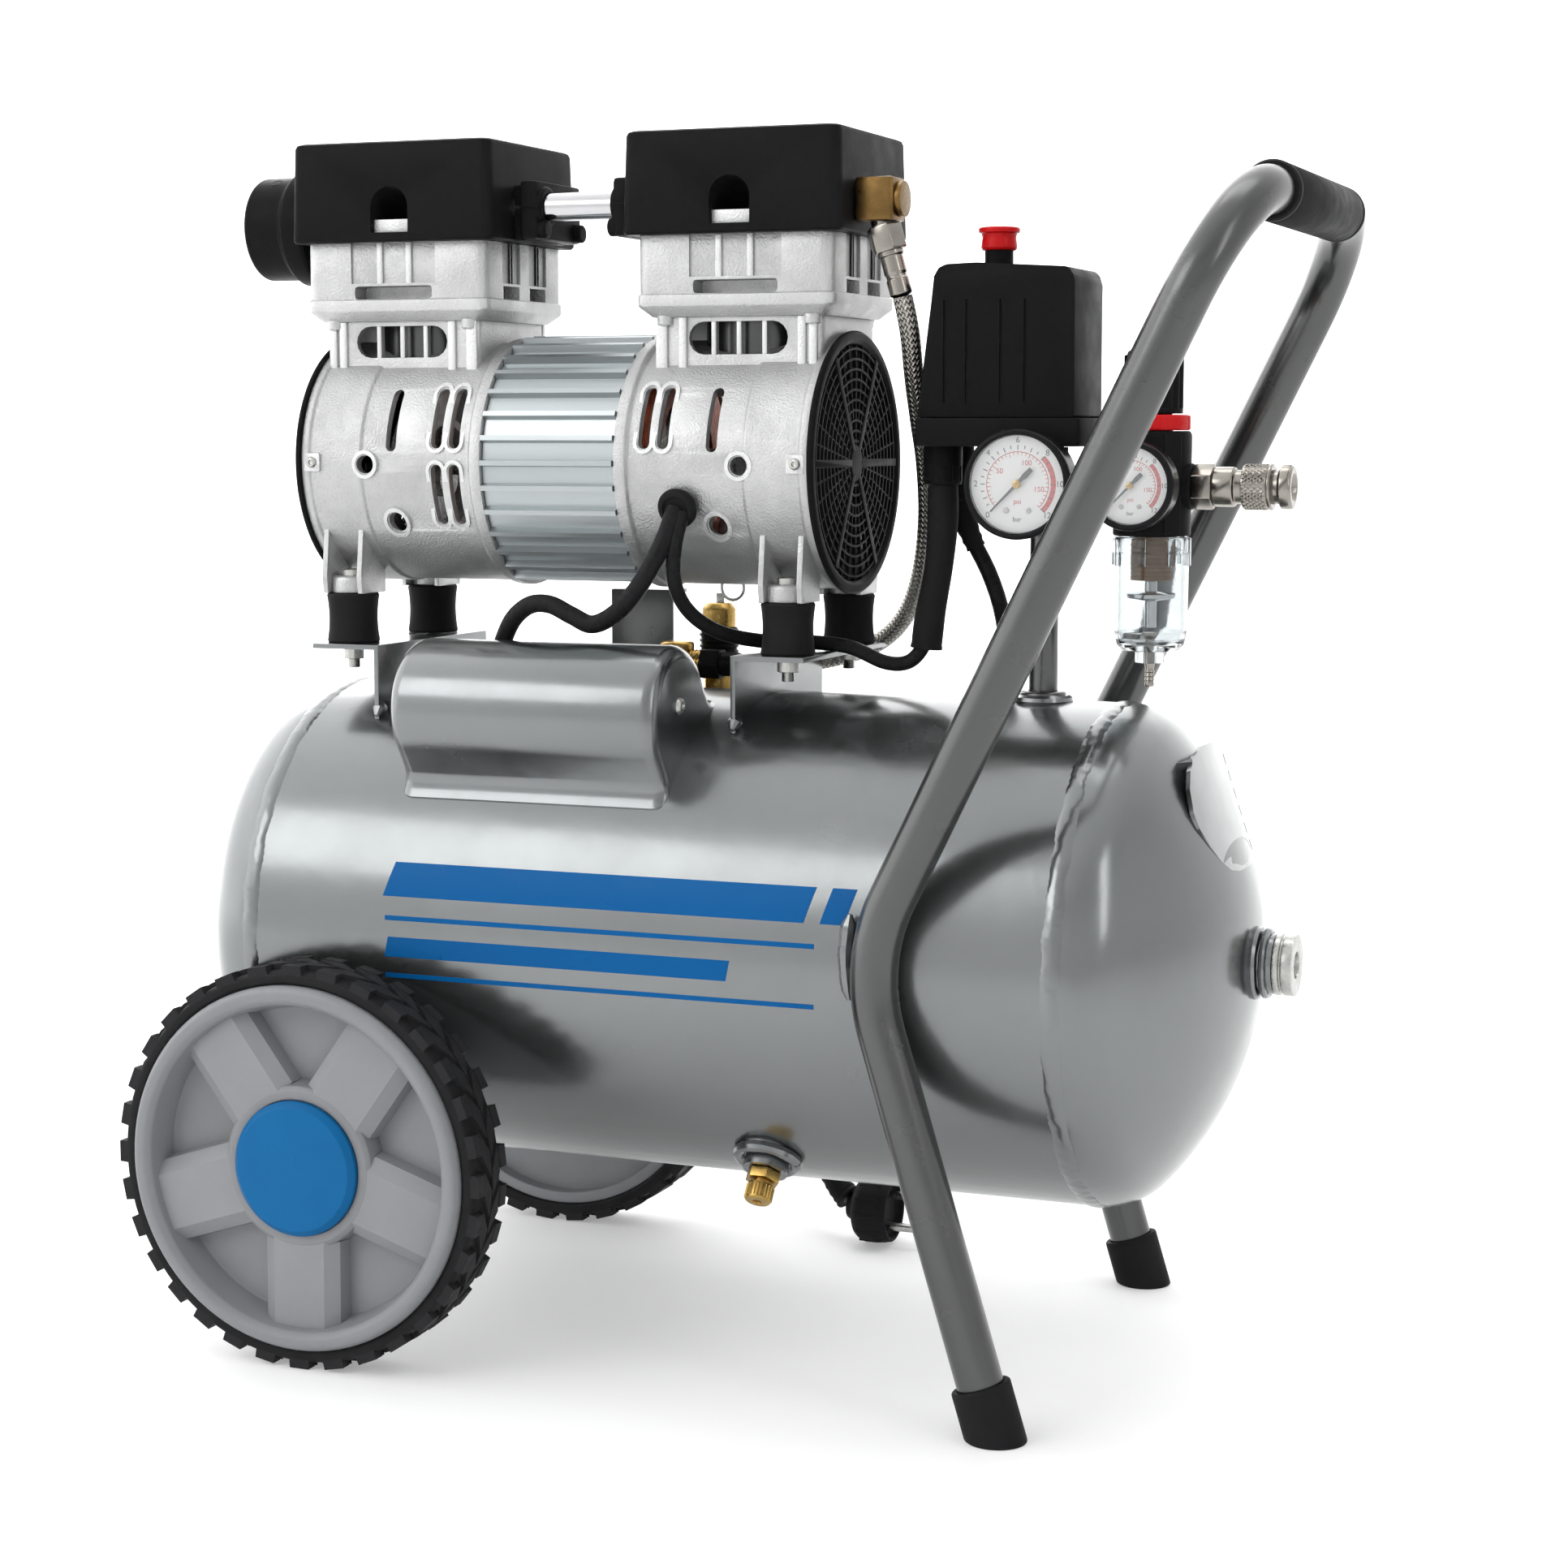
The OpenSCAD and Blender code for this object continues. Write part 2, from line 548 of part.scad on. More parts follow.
// ---- air path ----
module crossover_pipe() color(black) {
  for (s = [0, 1]) translate([motor_mid, 0, 0]) mirror([s, 0, 0]) difference() {
    translate([20.6, -28, 552]) cube([14.7, 53, 29.5]);
    along_x(0, 60, 7.12, 568.5, -17);
  }
  difference() {
    along_x(motor_mid - 40, motor_mid + 40, 7.1, 568.5, -17);
    along_x(motor_mid - 41, motor_mid + 41, 5.9, 568.5, -17);
  }
}
module intake_filter() color(black) difference() {
  union() {
    along_x(mid - 262, mid - 240, 26.7, 562.5);
    along_x(mid - 240, mid - 226, 30, 562.5);
    along_x(mid - 226, mid - 219.8, 20, 562.5);
    along_x(mid - 220, mid - 212, 11, 562.5);
  }
  along_x(mid - 256, mid - 230, 23, 562.5);
  along_x(mid - 235, mid - 200, 8, 562.5);
  for (a = [0:45:315]) translate([mid - 246, 0, 562.5]) rotate([a, 0, 0])
    cylinder(h = 40, r = 2, $fn = 24);
}
module hose_fittings() {
  color(brass) difference() {
    union() {
      translate([mid + 79.6, -32, 556.5]) cube([20, 20, 21]);
      along_x(mid + 72, mid + 80, 6, 567, -22);
    }
    along_x(mid + 70, mid + 90, 4, 567, -22);
  }
  color(nickel) translate([mid + 91, -22, 556]) rotate([0, -16, 0]) {
    hex_z(-16, 0, 15);
    translate([0, 0, -36]) cylinder(h = 20.5, r = 5.6);
  }
  color(black) {
    hex_x(mid - 34, mid - 22, 15, 335, valve_y);
    along_x(mid - 22.2, mid - 12, 6.2, 335, valve_y);
  }
}
module discharge_hose() color(nickel) translate([mid, 0, 0])
  sweep(smooth(hose_route, 4), hose_d / 2, 12);
module check_valve() color(brass) {
  translate([valve_x, valve_y, 0]) {
    translate([0, 0, 308]) cylinder(h = 14.3, r = 6);
    hex_z(322.1, 330, 20);
    translate([0, 0, 329.5]) cylinder(h = 17, r = 9);
  }
  along_x(valve_x + 5, mid - 34.1, 6, 335, valve_y);
}
module valve_bracket() color(grey) difference() {
  union() {
    translate([mid - 98, 74, 290]) cube([36, 2, 82]);
    translate([mid - 98, 74, 370]) cube([36, 20, 2]);
    translate([mid - 98, 74, 290]) cube([2, 14, 81]);
  }
  tank_void();
}
module safety_valve() translate([mid - 34, 72, 0]) {
  color(brass) translate([0, 0, 296]) cylinder(h = 22, r = 5);
  color(brass) hex_z(316.1, 330, 16);
  color(black) translate([0, 0, 329]) cylinder(h = 24, r = 10.5);
  color(brass) translate([0, 0, 352]) cylinder(h = 14, r = 9);
  color(nickel) translate([-4, -1, 364]) cube([18, 2, 16]);
}
module riser_pipe() color(tube_paint) difference() {
  translate([riser_x, 0, 0]) {
    translate([0, 0, 318]) cylinder(h = 98, r = 7.1);
    translate([0, 0, 326.7]) cylinder(h = 4.6, r = 11.4);
  }
  translate([riser_x, 0, 310]) cylinder(h = 120, r = 4.6);
}
module manifold() color(black) difference() {
  union() {
    translate([riser_x, 0, 416.1]) cylinder(h = 33, r = 11);
    along_y(-24.4, 0, 8, riser_x, port_z);
    along_x(riser_x, riser_x + 32.8, 8.5, out_z);
    along_y(0, 20, 8, riser_x, port_z);
  }
  translate([riser_x, 0, 415]) cylinder(h = 22, r = 4.6);
  along_y(-26, 0, 3.1, riser_x, port_z);
  along_x(riser_x, riser_x + 34, 5, out_z);
}

// ---- pressure switch ----
module switch_base() color(black) difference() {
  union() {
    translate([mid + 108.5, -27, switch_z]) cube([83, 54, 13.8]);
    translate([mid + 118, -9, 431]) cylinder(h = 19, r = 9.5);
    translate([mid + 119, 13, 431]) cylinder(h = 19, r = 7.5);
  }
  translate([mid + 113, -22.5, switch_z + 4]) cube([74, 45, 12]);
  translate([mid + 118, -9, 430]) cylinder(h = 30, r = 5);
  translate([mid + 119, 13, 430]) cylinder(h = 30, r = cord_r + 0.3);
}
module switch_cover() color(black) difference() {
  translate([0, 25, 0]) rotate([90, 0, 0]) linear_extrude(50) polygon([
    [mid + 109.5, 463.2], [mid + 188, 463.2], [mid + 187.6, 528], [mid + 183, 533.4],
    [mid + 124, 536.4], [mid + 118.5, 531.5]]);
  translate([0, 22.5, 0]) rotate([90, 0, 0]) linear_extrude(45) polygon([
    [mid + 112.2, 460], [mid + 185.4, 460], [mid + 185, 530], [mid + 121.5, 532.6]]);
  for (x = [123, 134, 151, 163]) translate([mid + x, -26, 455]) cube([1.8, 2, 66]);
  translate([mid + 142.8, 0, 520]) cylinder(h = 30, r = 7.3);
}
module switch_button() color(red) translate([mid + 142.8, 0, 0]) {
  translate([0, 0, 516]) cylinder(h = 27, r = 6.9);
  translate([0, 0, 542.8]) cylinder(h = 11.2, r = 10);
}

// ---- gauges ----
module gauge_case(x, z, d, face_y, back_y) color(black) difference() {
  union() {
    along_y(face_y, back_y - 3, d / 2, x, z);
    along_y(back_y - 4, back_y, 7, x, z);
  }
  difference() {
    along_y(face_y - 1, face_y + 5, d / 2 - 3, x, z);
    along_y(face_y + 1.4, face_y + 6, 0.9, x, z);
  }
}
// the needle is drawn pointing towards angle a, measured from +X, with its tail behind it
module needle(x, z, d, face_y, a) color([0.1, 0.1, 0.1]) difference() {
  translate([x, face_y, z]) rotate([0, -a, 0]) union() {
    along_y(1.2, 3.6, 2.6);
    translate([-d * 0.16, 1.8, -0.7]) cube([d * 0.52, 0.9, 1.4]);
  }
  along_y(face_y, face_y + 6, 0.95, x, z);
}
module gauge_main() gauge_case(riser_x, port_z, main_gauge_d, -50, -24.5);
module gauge_main_needle() needle(riser_x, port_z, main_gauge_d, -50, 218);
module gauge_outlet() gauge_case(reg_x, port_z - 0.5, outlet_gauge_d, -45, -22);
module gauge_outlet_needle() needle(reg_x, port_z - 0.5, outlet_gauge_d, -45, 225);

// ---- regulator, filter and coupler ----
module regulator_body() color(black) difference() {
  union() {
    translate([reg_x, 0, 407.2]) cylinder(h = 49.6, r = 18.5);
    translate([reg_x, 0, 456]) cylinder(h = 14, r = 9);
    along_x(mid + 199.9, mid + 240.4, 11, out_z);
    along_y(-21.9, 0, 8, reg_x, port_z - 0.5);
  }
  translate([reg_x, 0, 436]) cylinder(h = 30, r = 6);
  translate([reg_x, 0, 400]) cylinder(h = 22, r = 12);
  along_x(mid + 198, mid + 210, 5, out_z);
  along_x(mid + 228, mid + 242, 5, out_z);
}
module regulator_ring() color(red) translate([reg_x, 0, 0]) ring_z(457, 464.4, 17.6, 9.1);
module regulator_knob() color(black) translate([reg_x, 0, 0]) difference() {
  translate([0, 0, 464.9]) cylinder(h = 30, r = 14.2);
  translate([0, 0, 464]) cylinder(h = 7, r = 9.08);
  for (a = [0:20:340]) rotate([0, 0, a]) translate([15, 0, 467]) cylinder(h = 24, r = 1.4, $fn = 16);
}
module filter_bowl() color([0.82, 0.85, 0.86]) translate([reg_x, 0, 0]) difference() {
  union() {
    translate([0, 0, 352.3]) cylinder(h = 54.7, r = 18.1);
    translate([0, 0, 394]) cylinder(h = 13, r = 19);
    translate([0, 0, 346]) cylinder(h = 7, r = 7);
  }
  translate([0, 0, 355.5]) cylinder(h = 60, r = 15.6);
  translate([0, 0, 340]) cylinder(h = 20, r = 2.45);
}
module filter_element() color([0.42, 0.27, 0.15]) translate([reg_x, 0, 0]) {
  ring_z(388, 406.8, 10, 5);
  translate([0, 0, 386]) cylinder(h = 2.5, r = 10);
  translate([0, 0, 363.2]) cylinder(h = 43.6, r = 3);
  translate([0, 0, 377]) cylinder(h = 3, r = 12);
}
module bowl_drain() color(black) translate([reg_x, 0, 0]) {
  translate([0, 0, 335]) cylinder(h = 20, r = 2.4);
  translate([0, 0, 358.6]) cylinder(h = 2, r = 4.5);
  translate([0, 0, 354]) cylinder(h = 5, r = 2.4);
}
module coupler_body() color(nickel) difference() {
  union() {
    hex_x(mid + 240.6, mid + 250.4, 19, out_z);
    along_x(mid + 250.3, mid + 260.4, 9.4, out_z);
    along_x(mid + 260.3, mid + 282, 8, out_z);
    along_x(mid + 281.6, mid + 288, 10.5, out_z);
    along_x(mid + 230, mid + 241, 4.9, out_z);
  }
  along_x(mid + 262, mid + 289, 5.1, out_z);
  along_x(mid + 229, mid + 263, 3, out_z);
}
module coupler_sleeve() color(nickel) difference() {
  along_x(mid + 264.4, mid + 278.4, 11, out_z);
  along_x(mid + 264, mid + 279, 8.05, out_z);
  for (a = [0:15:345]) translate([mid + 267, 0, out_z]) rotate([a, 0, 0]) translate([-1, -0.5, 10.3])
    cube([10, 1, 2]);
}

// ---- cables ----
module motor_cables() color(black) translate([mid, 0, 0]) {
  translate([0, -57.6, 420.7]) rotate([72, 0, 0]) {
    translate([0, 0, -8]) cylinder(h = 11, r = 7.4);
    translate([0, 0, 2.6]) cylinder(h = 4, r = 10);
  }
  sweep(smooth(thick_route, 3), 4.5);
  sweep(smooth(thin_route, 3), 3.6);
  sweep(smooth(sleeve_route, 4), 7.6, 12);
}
module power_cord() color(black) translate([mid, 0, 0]) {
  sweep(smooth(lead_route, 2), cord_r);
  sweep(smooth(tail_route, 2), cord_r);
}
module power_cord_coil() color(black) translate([coil_c[0], coil_c[1], 0])
  ring_z(0.2, 36.4, coil_r + cord_r, coil_r - cord_r);
module power_plug() color(black) translate([mid, 155, 19.4]) {
  difference() {
    along_x(16, 38, 19);
    along_x(36, 39, 15);
  }
  along_x(10, 17, 9);
  for (s = [-1, 1]) rotate([52, 0, 0]) along_x(36, 57, 2.4, 0, s * 9.5);
}

tank_shell();
tank_heads();
front_plug();
drain_cock();
data_plate_bracket();
handle_frame();
handle_grip();
foot_caps();
wheel_brackets();
wheel_near();
tyre_near();
wheel_cap_near();
wheel_far();
tyre_far();
wheel_cap_far();
mount_brackets();
rubber_mounts();
fasteners();
capacitor_cover();
run_capacitor();
housing_left();
housing_right();
cylinder_sleeves();
cylinder_heads();
top_covers();
stator_shell();
stator();
fan_guards();
rotor();
cooling_fans();
piston_left();
piston_right();
crossover_pipe();
intake_filter();
hose_fittings();
discharge_hose();
check_valve();
valve_bracket();
safety_valve();
riser_pipe();
manifold();
switch_base();
switch_cover();
switch_button();
gauge_main();
gauge_main_needle();
gauge_outlet();
gauge_outlet_needle();
regulator_body();
regulator_knob();
regulator_ring();
filter_bowl();
filter_element();
bowl_drain();
coupler_body();
coupler_sleeve();
motor_cables();
power_cord();
power_cord_coil();
power_plug();
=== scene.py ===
"""Looks of a portable twin-cylinder air compressor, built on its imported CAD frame.

Mesh code works in millimetres in the part's own frame; publish() turns a mesh into a piece in metres.
"""
import math

import bmesh
import bpy
from mathutils import Matrix, Vector


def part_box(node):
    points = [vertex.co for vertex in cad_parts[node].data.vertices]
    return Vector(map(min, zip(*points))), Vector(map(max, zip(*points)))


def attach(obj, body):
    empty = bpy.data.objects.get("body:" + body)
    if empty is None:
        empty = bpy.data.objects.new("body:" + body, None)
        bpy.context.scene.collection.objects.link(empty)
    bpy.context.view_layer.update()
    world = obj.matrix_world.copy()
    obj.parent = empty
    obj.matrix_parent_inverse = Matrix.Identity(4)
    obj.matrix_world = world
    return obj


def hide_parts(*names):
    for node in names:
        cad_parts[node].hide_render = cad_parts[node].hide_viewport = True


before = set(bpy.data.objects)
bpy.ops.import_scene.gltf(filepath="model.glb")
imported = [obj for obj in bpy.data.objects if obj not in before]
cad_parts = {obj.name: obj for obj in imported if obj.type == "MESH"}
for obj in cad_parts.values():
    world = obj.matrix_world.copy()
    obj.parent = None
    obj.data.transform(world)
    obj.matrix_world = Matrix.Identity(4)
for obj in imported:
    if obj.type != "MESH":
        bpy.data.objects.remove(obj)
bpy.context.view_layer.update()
MM = 0.001
X, Y, Z = Vector((1, 0, 0)), Vector((0, 1, 0)), Vector((0, 0, 1))


def span(node):
    """Lowest and highest corner of a CAD node, in millimetres."""
    low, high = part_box(node)
    return low / MM, high / MM


def middle(node):
    low, high = span(node)
    return (low + high) / 2


# ---- places read from the frame, in millimetres ----
MID = middle("tank_shell").x
TANK = Vector((MID, 0, middle("tank_heads").z))
TANK_R = span("tank_heads")[1].y
SEAM = span("tank_shell")[1].x - MID
MOTOR = middle("stator_shell")
MOTOR_END = span("fan_guards")[1].x - MOTOR.x
CYL = middle("piston_right").x - MOTOR.x
SLEEVE_R = 30.1
FOOT_R = 13.5
MOUNT = (span("rubber_mounts")[1].x - span("rubber_mounts")[0].x) / 2 - FOOT_R
MOUNT_Y = span("rubber_mounts")[1].y - FOOT_R
RISER_X = middle("riser_pipe").x
REG_X = middle("filter_bowl").x
OUT = middle("coupler_sleeve")
WHEEL = middle("tyre_near")
WHEEL_R = span("tyre_near")[1].z - WHEEL.z
FRONT = span("wheel_near")[0].y
VALVE = middle("check_valve")
KNEE = Vector((MID + 121.9, 0, 216.8))
DRAIN_X = MID + 53
DRAIN_WAY = (0, -0.6129, -0.7902)
HOSE_Z = 335


# ---- camera, floor and light ----
def add_camera():
    data = bpy.data.cameras.new("camera")
    data.lens = 66.97
    data.sensor_width = 36
    data.clip_end = 50
    camera = bpy.data.objects.new("camera", data)
    camera.location = (0.5525, -1.3639, 0.4565)
    camera.rotation_euler = (math.radians(83.11), 0, math.radians(21.44))
    bpy.context.scene.collection.objects.link(camera)
    bpy.context.scene.camera = camera


def add_light(name, place, aim, size, power):
    data = bpy.data.lights.new(name, "AREA")
    data.shape = "RECTANGLE"
    data.size, data.size_y = size
    data.energy = power
    light = bpy.data.objects.new(name, data)
    light.location = place
    light.rotation_euler = (Vector(aim) - Vector(place)).to_track_quat("-Z", "Y").to_euler()
    bpy.context.scene.collection.objects.link(light)


def studio_finish():
    """Pale matt card that glows where it stands behind the object, as a lit backdrop does."""
    material = paint("studio_pale", (0.74, 0.74, 0.74), spread=0.01, roughness=0.75)
    tree = material.node_tree
    shader = tree.nodes["Principled BSDF"]
    place = tree.nodes.new("ShaderNodeTexCoord")
    behind = tree.nodes.new("ShaderNodeVectorMath")
    behind.operation = "DOT_PRODUCT"
    behind.inputs[1].default_value = (-0.87 / 12, 0.5 / 12, 0)
    tree.links.new(place.outputs["Object"], behind.inputs[0])
    shifted = math_node(tree, "ADD", behind.outputs["Value"], 0.5)
    glow = tree.nodes.new("ShaderNodeValToRGB")
    stops = ((0.20, 0.09), (0.42, 0.25), (0.575, 0.30), (0.74, 0.88))
    while len(glow.color_ramp.elements) < len(stops):
        glow.color_ramp.elements.new(0.5)
    for element, (position, level) in zip(glow.color_ramp.elements, stops):
        element.position = position
        element.color = (level, level, level, 1)
    tree.links.new(shifted, glow.inputs[0])
    # painted glow: the emission strength rises towards the back of the studio
    tree.links.new(glow.outputs[0], shader.inputs["Emission Strength"])
    shader.inputs["Emission Color"].default_value = (1, 1, 1, 1)
    return material


def add_studio():
    """A pale floor whose rim rises into a wall all round, with soft lights above it."""
    bm = bmesh.new()
    rim = [(5.0 + 1.5 * math.sin(t), 1.5 - 1.5 * math.cos(t)) for t in (0.26 * k for k in range(7))]
    turned(bm, [(0, 0), (2.5, 0), *rim, (6.6, 3.4)], steps=64)
    floor = publish("studio_floor", bm, studio_finish(), scale=1, body=None)
    world = bpy.data.worlds.new("studio")
    bpy.context.scene.world = world
    world.use_nodes = True
    world.node_tree.nodes["Background"].inputs["Color"].default_value = (0.80, 0.90, 1.0, 1)
    world.node_tree.nodes["Background"].inputs["Strength"].default_value = 0.10
    bpy.context.scene.view_settings.view_transform = "Standard"
    add_light("key", (-1.5, -2.2, 1.9), (0, 0, 0.35), (1.5, 1.3), 17)
    add_light("side", (2.5, -1.2, 1.5), (0, 0, 0.35), (0.5, 1.6), 7)
    add_light("top", (0.1, 0.6, 2.7), (0, 0, 0.3), (2.0, 0.9), 12)
    add_light("rear", (-1.9, 2.1, 1.6), (0, 0, 0.35), (1.0, 1.2), 8)


# ---- materials ----
def tree_of(name):
    material = bpy.data.materials.new(name)
    material.use_nodes = True
    tree = material.node_tree
    return material, tree, tree.nodes["Principled BSDF"]


def noise(tree, size, detail=3.0, stretch=(1, 1, 1)):
    """Noise with features of that size in metres, fixed to the piece."""
    place = tree.nodes.new("ShaderNodeTexCoord")
    scale = tree.nodes.new("ShaderNodeMapping")
    scale.inputs["Scale"].default_value = stretch
    node = tree.nodes.new("ShaderNodeTexNoise")
    node.inputs["Scale"].default_value = 1 / size
    node.inputs["Detail"].default_value = detail
    node.inputs["Roughness"].default_value = 0.55
    tree.links.new(place.outputs["Object"], scale.inputs["Vector"])
    tree.links.new(scale.outputs["Vector"], node.inputs["Vector"])
    return node.outputs["Fac"]


def spread_to(tree, source, low, high, start=0.3, end=0.7):
    node = tree.nodes.new("ShaderNodeMapRange")
    for key, value in (("From Min", start), ("From Max", end), ("To Min", low), ("To Max", high)):
        node.inputs[key].default_value = value
    tree.links.new(source, node.inputs["Value"])
    return node.outputs["Result"]


def mixed(tree, factor, one, two):
    """Blend of two colours or sockets by a factor."""
    node = tree.nodes.new("ShaderNodeMix")
    node.data_type = "RGBA"
    tree.links.new(factor, node.inputs["Factor"])
    for socket, value in ((node.inputs[6], one), (node.inputs[7], two)):
        if isinstance(value, bpy.types.NodeSocket):
            tree.links.new(value, socket)
        else:
            socket.default_value = (*value, 1)
    return node.outputs[2]


def math_node(tree, operation, one, two=None):
    node = tree.nodes.new("ShaderNodeMath")
    node.operation = operation
    for socket, value in ((node.inputs[0], one), (node.inputs[1], two)):
        if isinstance(value, bpy.types.NodeSocket):
            tree.links.new(value, socket)
        elif value is not None:
            socket.default_value = value
    return node.outputs[0]


def bumped(tree, shader, height, depth, normal=None):
    node = tree.nodes.new("ShaderNodeBump")
    node.inputs["Distance"].default_value = depth
    node.inputs["Strength"].default_value = 1
    tree.links.new(height, node.inputs["Height"])
    if normal is not None:
        tree.links.new(normal, node.inputs["Normal"])
    tree.links.new(node.outputs["Normal"], shader.inputs["Normal"])
    return node.outputs["Normal"]


def tinted(colour, factor):
    return tuple(min(1.0, c * factor) for c in colour)


def paint(name, colour, metallic=0.0, roughness=0.5, spread=0.06, patch=0.05, rough_spread=0.08,
          grain=0.0, grain_size=0.0006, coat=0.0, wear=0.0, hollow_shade=0.0, stretch=(1, 1, 1), wave=0.0,
          shine=0.5):
    """One procedural finish: mottled colour and gloss, fine grain, edge wear, and painted shade that darkens
    the hollows.
    """
    material, tree, shader = tree_of(name)
    shader.inputs["Metallic"].default_value = metallic
    shader.inputs["Coat Weight"].default_value = coat
    shader.inputs["Coat Roughness"].default_value = 0.08
    shader.inputs["Specular IOR Level"].default_value = shine
    patches = noise(tree, patch, 5.0, stretch)
    flecks = noise(tree, patch / 14, 3.0, stretch)
    base = mixed(tree, spread_to(tree, patches, 0, 1), tinted(colour, 1 - spread),
                 tinted(colour, 1 + spread))
    base = mixed(tree, spread_to(tree, flecks, 0, 0.35, 0.5, 0.75), base, tinted(colour, 1 - 1.6 * spread))
    if wear or hollow_shade:
        bend = tree.nodes.new("ShaderNodeNewGeometry").outputs["Pointiness"]
        if wear:
            base = mixed(tree, spread_to(tree, bend, 0, wear, 0.52, 0.60), base, tinted(colour, 1.0 + 0.9))
        # painted shade: hollows found by pointiness are darkened towards a third of the colour
        if hollow_shade:
            base = mixed(tree, spread_to(tree, bend, hollow_shade, 0, 0.40, 0.49), base, tinted(colour, 0.35))
    tree.links.new(base, shader.inputs["Base Color"])
    gloss = noise(tree, patch / 3, 4.0, stretch)
    tree.links.new(spread_to(tree, gloss, roughness - rough_spread, roughness + rough_spread),
                   shader.inputs["Roughness"])
    normal = None
    if wave:
        normal = bumped(tree, shader, noise(tree, 0.018, 2.0), wave)
    if grain:
        bumped(tree, shader, noise(tree, grain_size, 2.0, stretch), grain, normal=normal)
    return material


def braid(name, colour, gap, strands, metallic, roughness):
    """Woven strands that run round a tube both ways, from its Pattern UV map."""
    material, tree, shader = tree_of(name)
    shader.inputs["Metallic"].default_value = metallic
    uv = tree.nodes.new("ShaderNodeUVMap")
    uv.uv_map = "Pattern"
    split = tree.nodes.new("ShaderNodeSeparateXYZ")
    tree.links.new(uv.outputs["UV"], split.inputs[0])
    around = math_node(tree, "MULTIPLY", split.outputs["X"], strands)
    along = math_node(tree, "MULTIPLY", split.outputs["Y"], strands * 0.8)
    one, two = math_node(tree, "ADD", around, along), math_node(tree, "SUBTRACT", around, along)
    heights = []
    for way in (one, two):
        wave = math_node(tree, "SINE", math_node(tree, "MULTIPLY", way, math.pi))
        heights.append(math_node(tree, "ABSOLUTE", wave))
    cells = [math_node(tree, "FLOOR", way) for way in (one, two)]
    over = math_node(tree, "PINGPONG", math_node(tree, "ADD", *cells), 1.0)
    gain = math_node(tree, "MULTIPLY", over, heights[0])
    rest = math_node(tree, "MULTIPLY", math_node(tree, "SUBTRACT", 1.0, over), heights[1])
    height = math_node(tree, "ADD", gain, rest)
    base = mixed(tree, spread_to(tree, noise(tree, 0.004), 0, 1), tinted(colour, 0.82),
                 tinted(colour, 1.12))
    base = mixed(tree, spread_to(tree, height, 1, 0, 0.10, 0.45), base, gap)
    tree.links.new(base, shader.inputs["Base Color"])
    tree.links.new(spread_to(tree, height, roughness + 0.25, roughness, 0.1, 0.6),
                   shader.inputs["Roughness"])
    bumped(tree, shader, height, 0.0005)
    return material


def clear(name, colour, roughness=0.04, weight=1.0, alpha=1.0):
    """Transparent moulded plastic, or a thin pane that lets the light straight through."""
    material, tree, shader = tree_of(name)
    shader.inputs["Transmission Weight"].default_value = weight
    shader.inputs["Alpha"].default_value = alpha
    shader.inputs["IOR"].default_value = 1.45
    tree.links.new(mixed(tree, noise(tree, 0.02), colour, tinted(colour, 0.95)),
                   shader.inputs["Base Color"])
    gloss = noise(tree, 0.006)
    tree.links.new(spread_to(tree, gloss, roughness, roughness + 0.05), shader.inputs["Roughness"])
    bumped(tree, shader, noise(tree, 0.004), 0.00004)
    return material


# ---- mesh helpers, in millimetres ----
def axis_frame(origin, direction):
    """Matrix whose local Z runs along direction from origin."""
    turn = Vector(direction).to_track_quat("Z", "Y").to_matrix().to_4x4()
    return Matrix.Translation(Vector(origin)) @ turn


def moved(x, y, z):
    return Matrix.Translation((x, y, z))


def spun(angle, axis="Z"):
    return Matrix.Rotation(angle, 4, axis)


def turned(bm, outline, place=Matrix.Identity(4), steps=48, closed=False):
    """Solid of revolution: outline is (radius, height) points, turned round local Z."""
    rings = []
    for radius, height in outline:
        count = 1 if radius < 1e-6 else steps
        rings.append([bm.verts.new(place @ Vector((radius * math.cos(math.tau * k / steps),
                      radius * math.sin(math.tau * k / steps), height))) for k in range(count)])
    if closed:
        rings.append(rings[0])
    for low, high in zip(rings, rings[1:]):
        for k in range(steps):
            n = k + 1
            corners = [low[k % len(low)], low[n % len(low)], high[n % len(high)], high[k % len(high)]]
            if len(set(corners)) > 2:
                bm.faces.new(list(dict.fromkeys(corners)))
    if not closed:
        for ring in (rings[0], rings[-1]):
            if len(ring) > 2:
                bm.faces.new(ring)


def around(place, count, start=0.0):
    """The place, turned about its Z in equal steps of a full round."""
    return [place @ spun(start + math.tau * k / count) for k in range(count)]


def soft(points, radius, closed=True, steps=3):
    """The same outline with its corners rounded."""
    points = [Vector(p) for p in points]
    out = []
    for i, corner in enumerate(points):
        if not closed and i in (0, len(points) - 1):
            out.append(corner)
            continue
        before, after = points[i - 1] - corner, points[(i + 1) % len(points)] - corner
        cut = min(radius, 0.48 * before.length, 0.48 * after.length)
        start, end = corner + before.normalized() * cut, corner + after.normalized() * cut
        for k in range(steps + 1):
            t = k / steps
            out.append(start * (1 - t) ** 2 + corner * 2 * t * (1 - t) + end * t * t)
    return out


def lathed(bm, outline, corner, place=Matrix.Identity(4), steps=48, fine=3):
    """Turned solid from axis to axis with its corners rounded."""
    turned(bm, soft(outline, corner, closed=False, steps=fine), place, steps)


def ringed(bm, outline, corner, place=Matrix.Identity(4), steps=48, fine=3):
    """Turned ring of a closed outline with its corners rounded."""
    turned(bm, soft(outline, corner, steps=fine), place, steps, closed=True)


def bevelled(bm, faces, width, steps=2, angle=25):
    """Rounds the sharp edges of the given faces."""
    edges = {e for f in faces for e in f.edges if len(e.link_faces) == 2
             and e.calc_face_angle(0) > math.radians(angle)}
    if edges and width > 0:
        bmesh.ops.bevel(bm, geom=list(edges), offset=width, segments=steps, profile=0.6,
                        affect="EDGES", clamp_overlap=True)


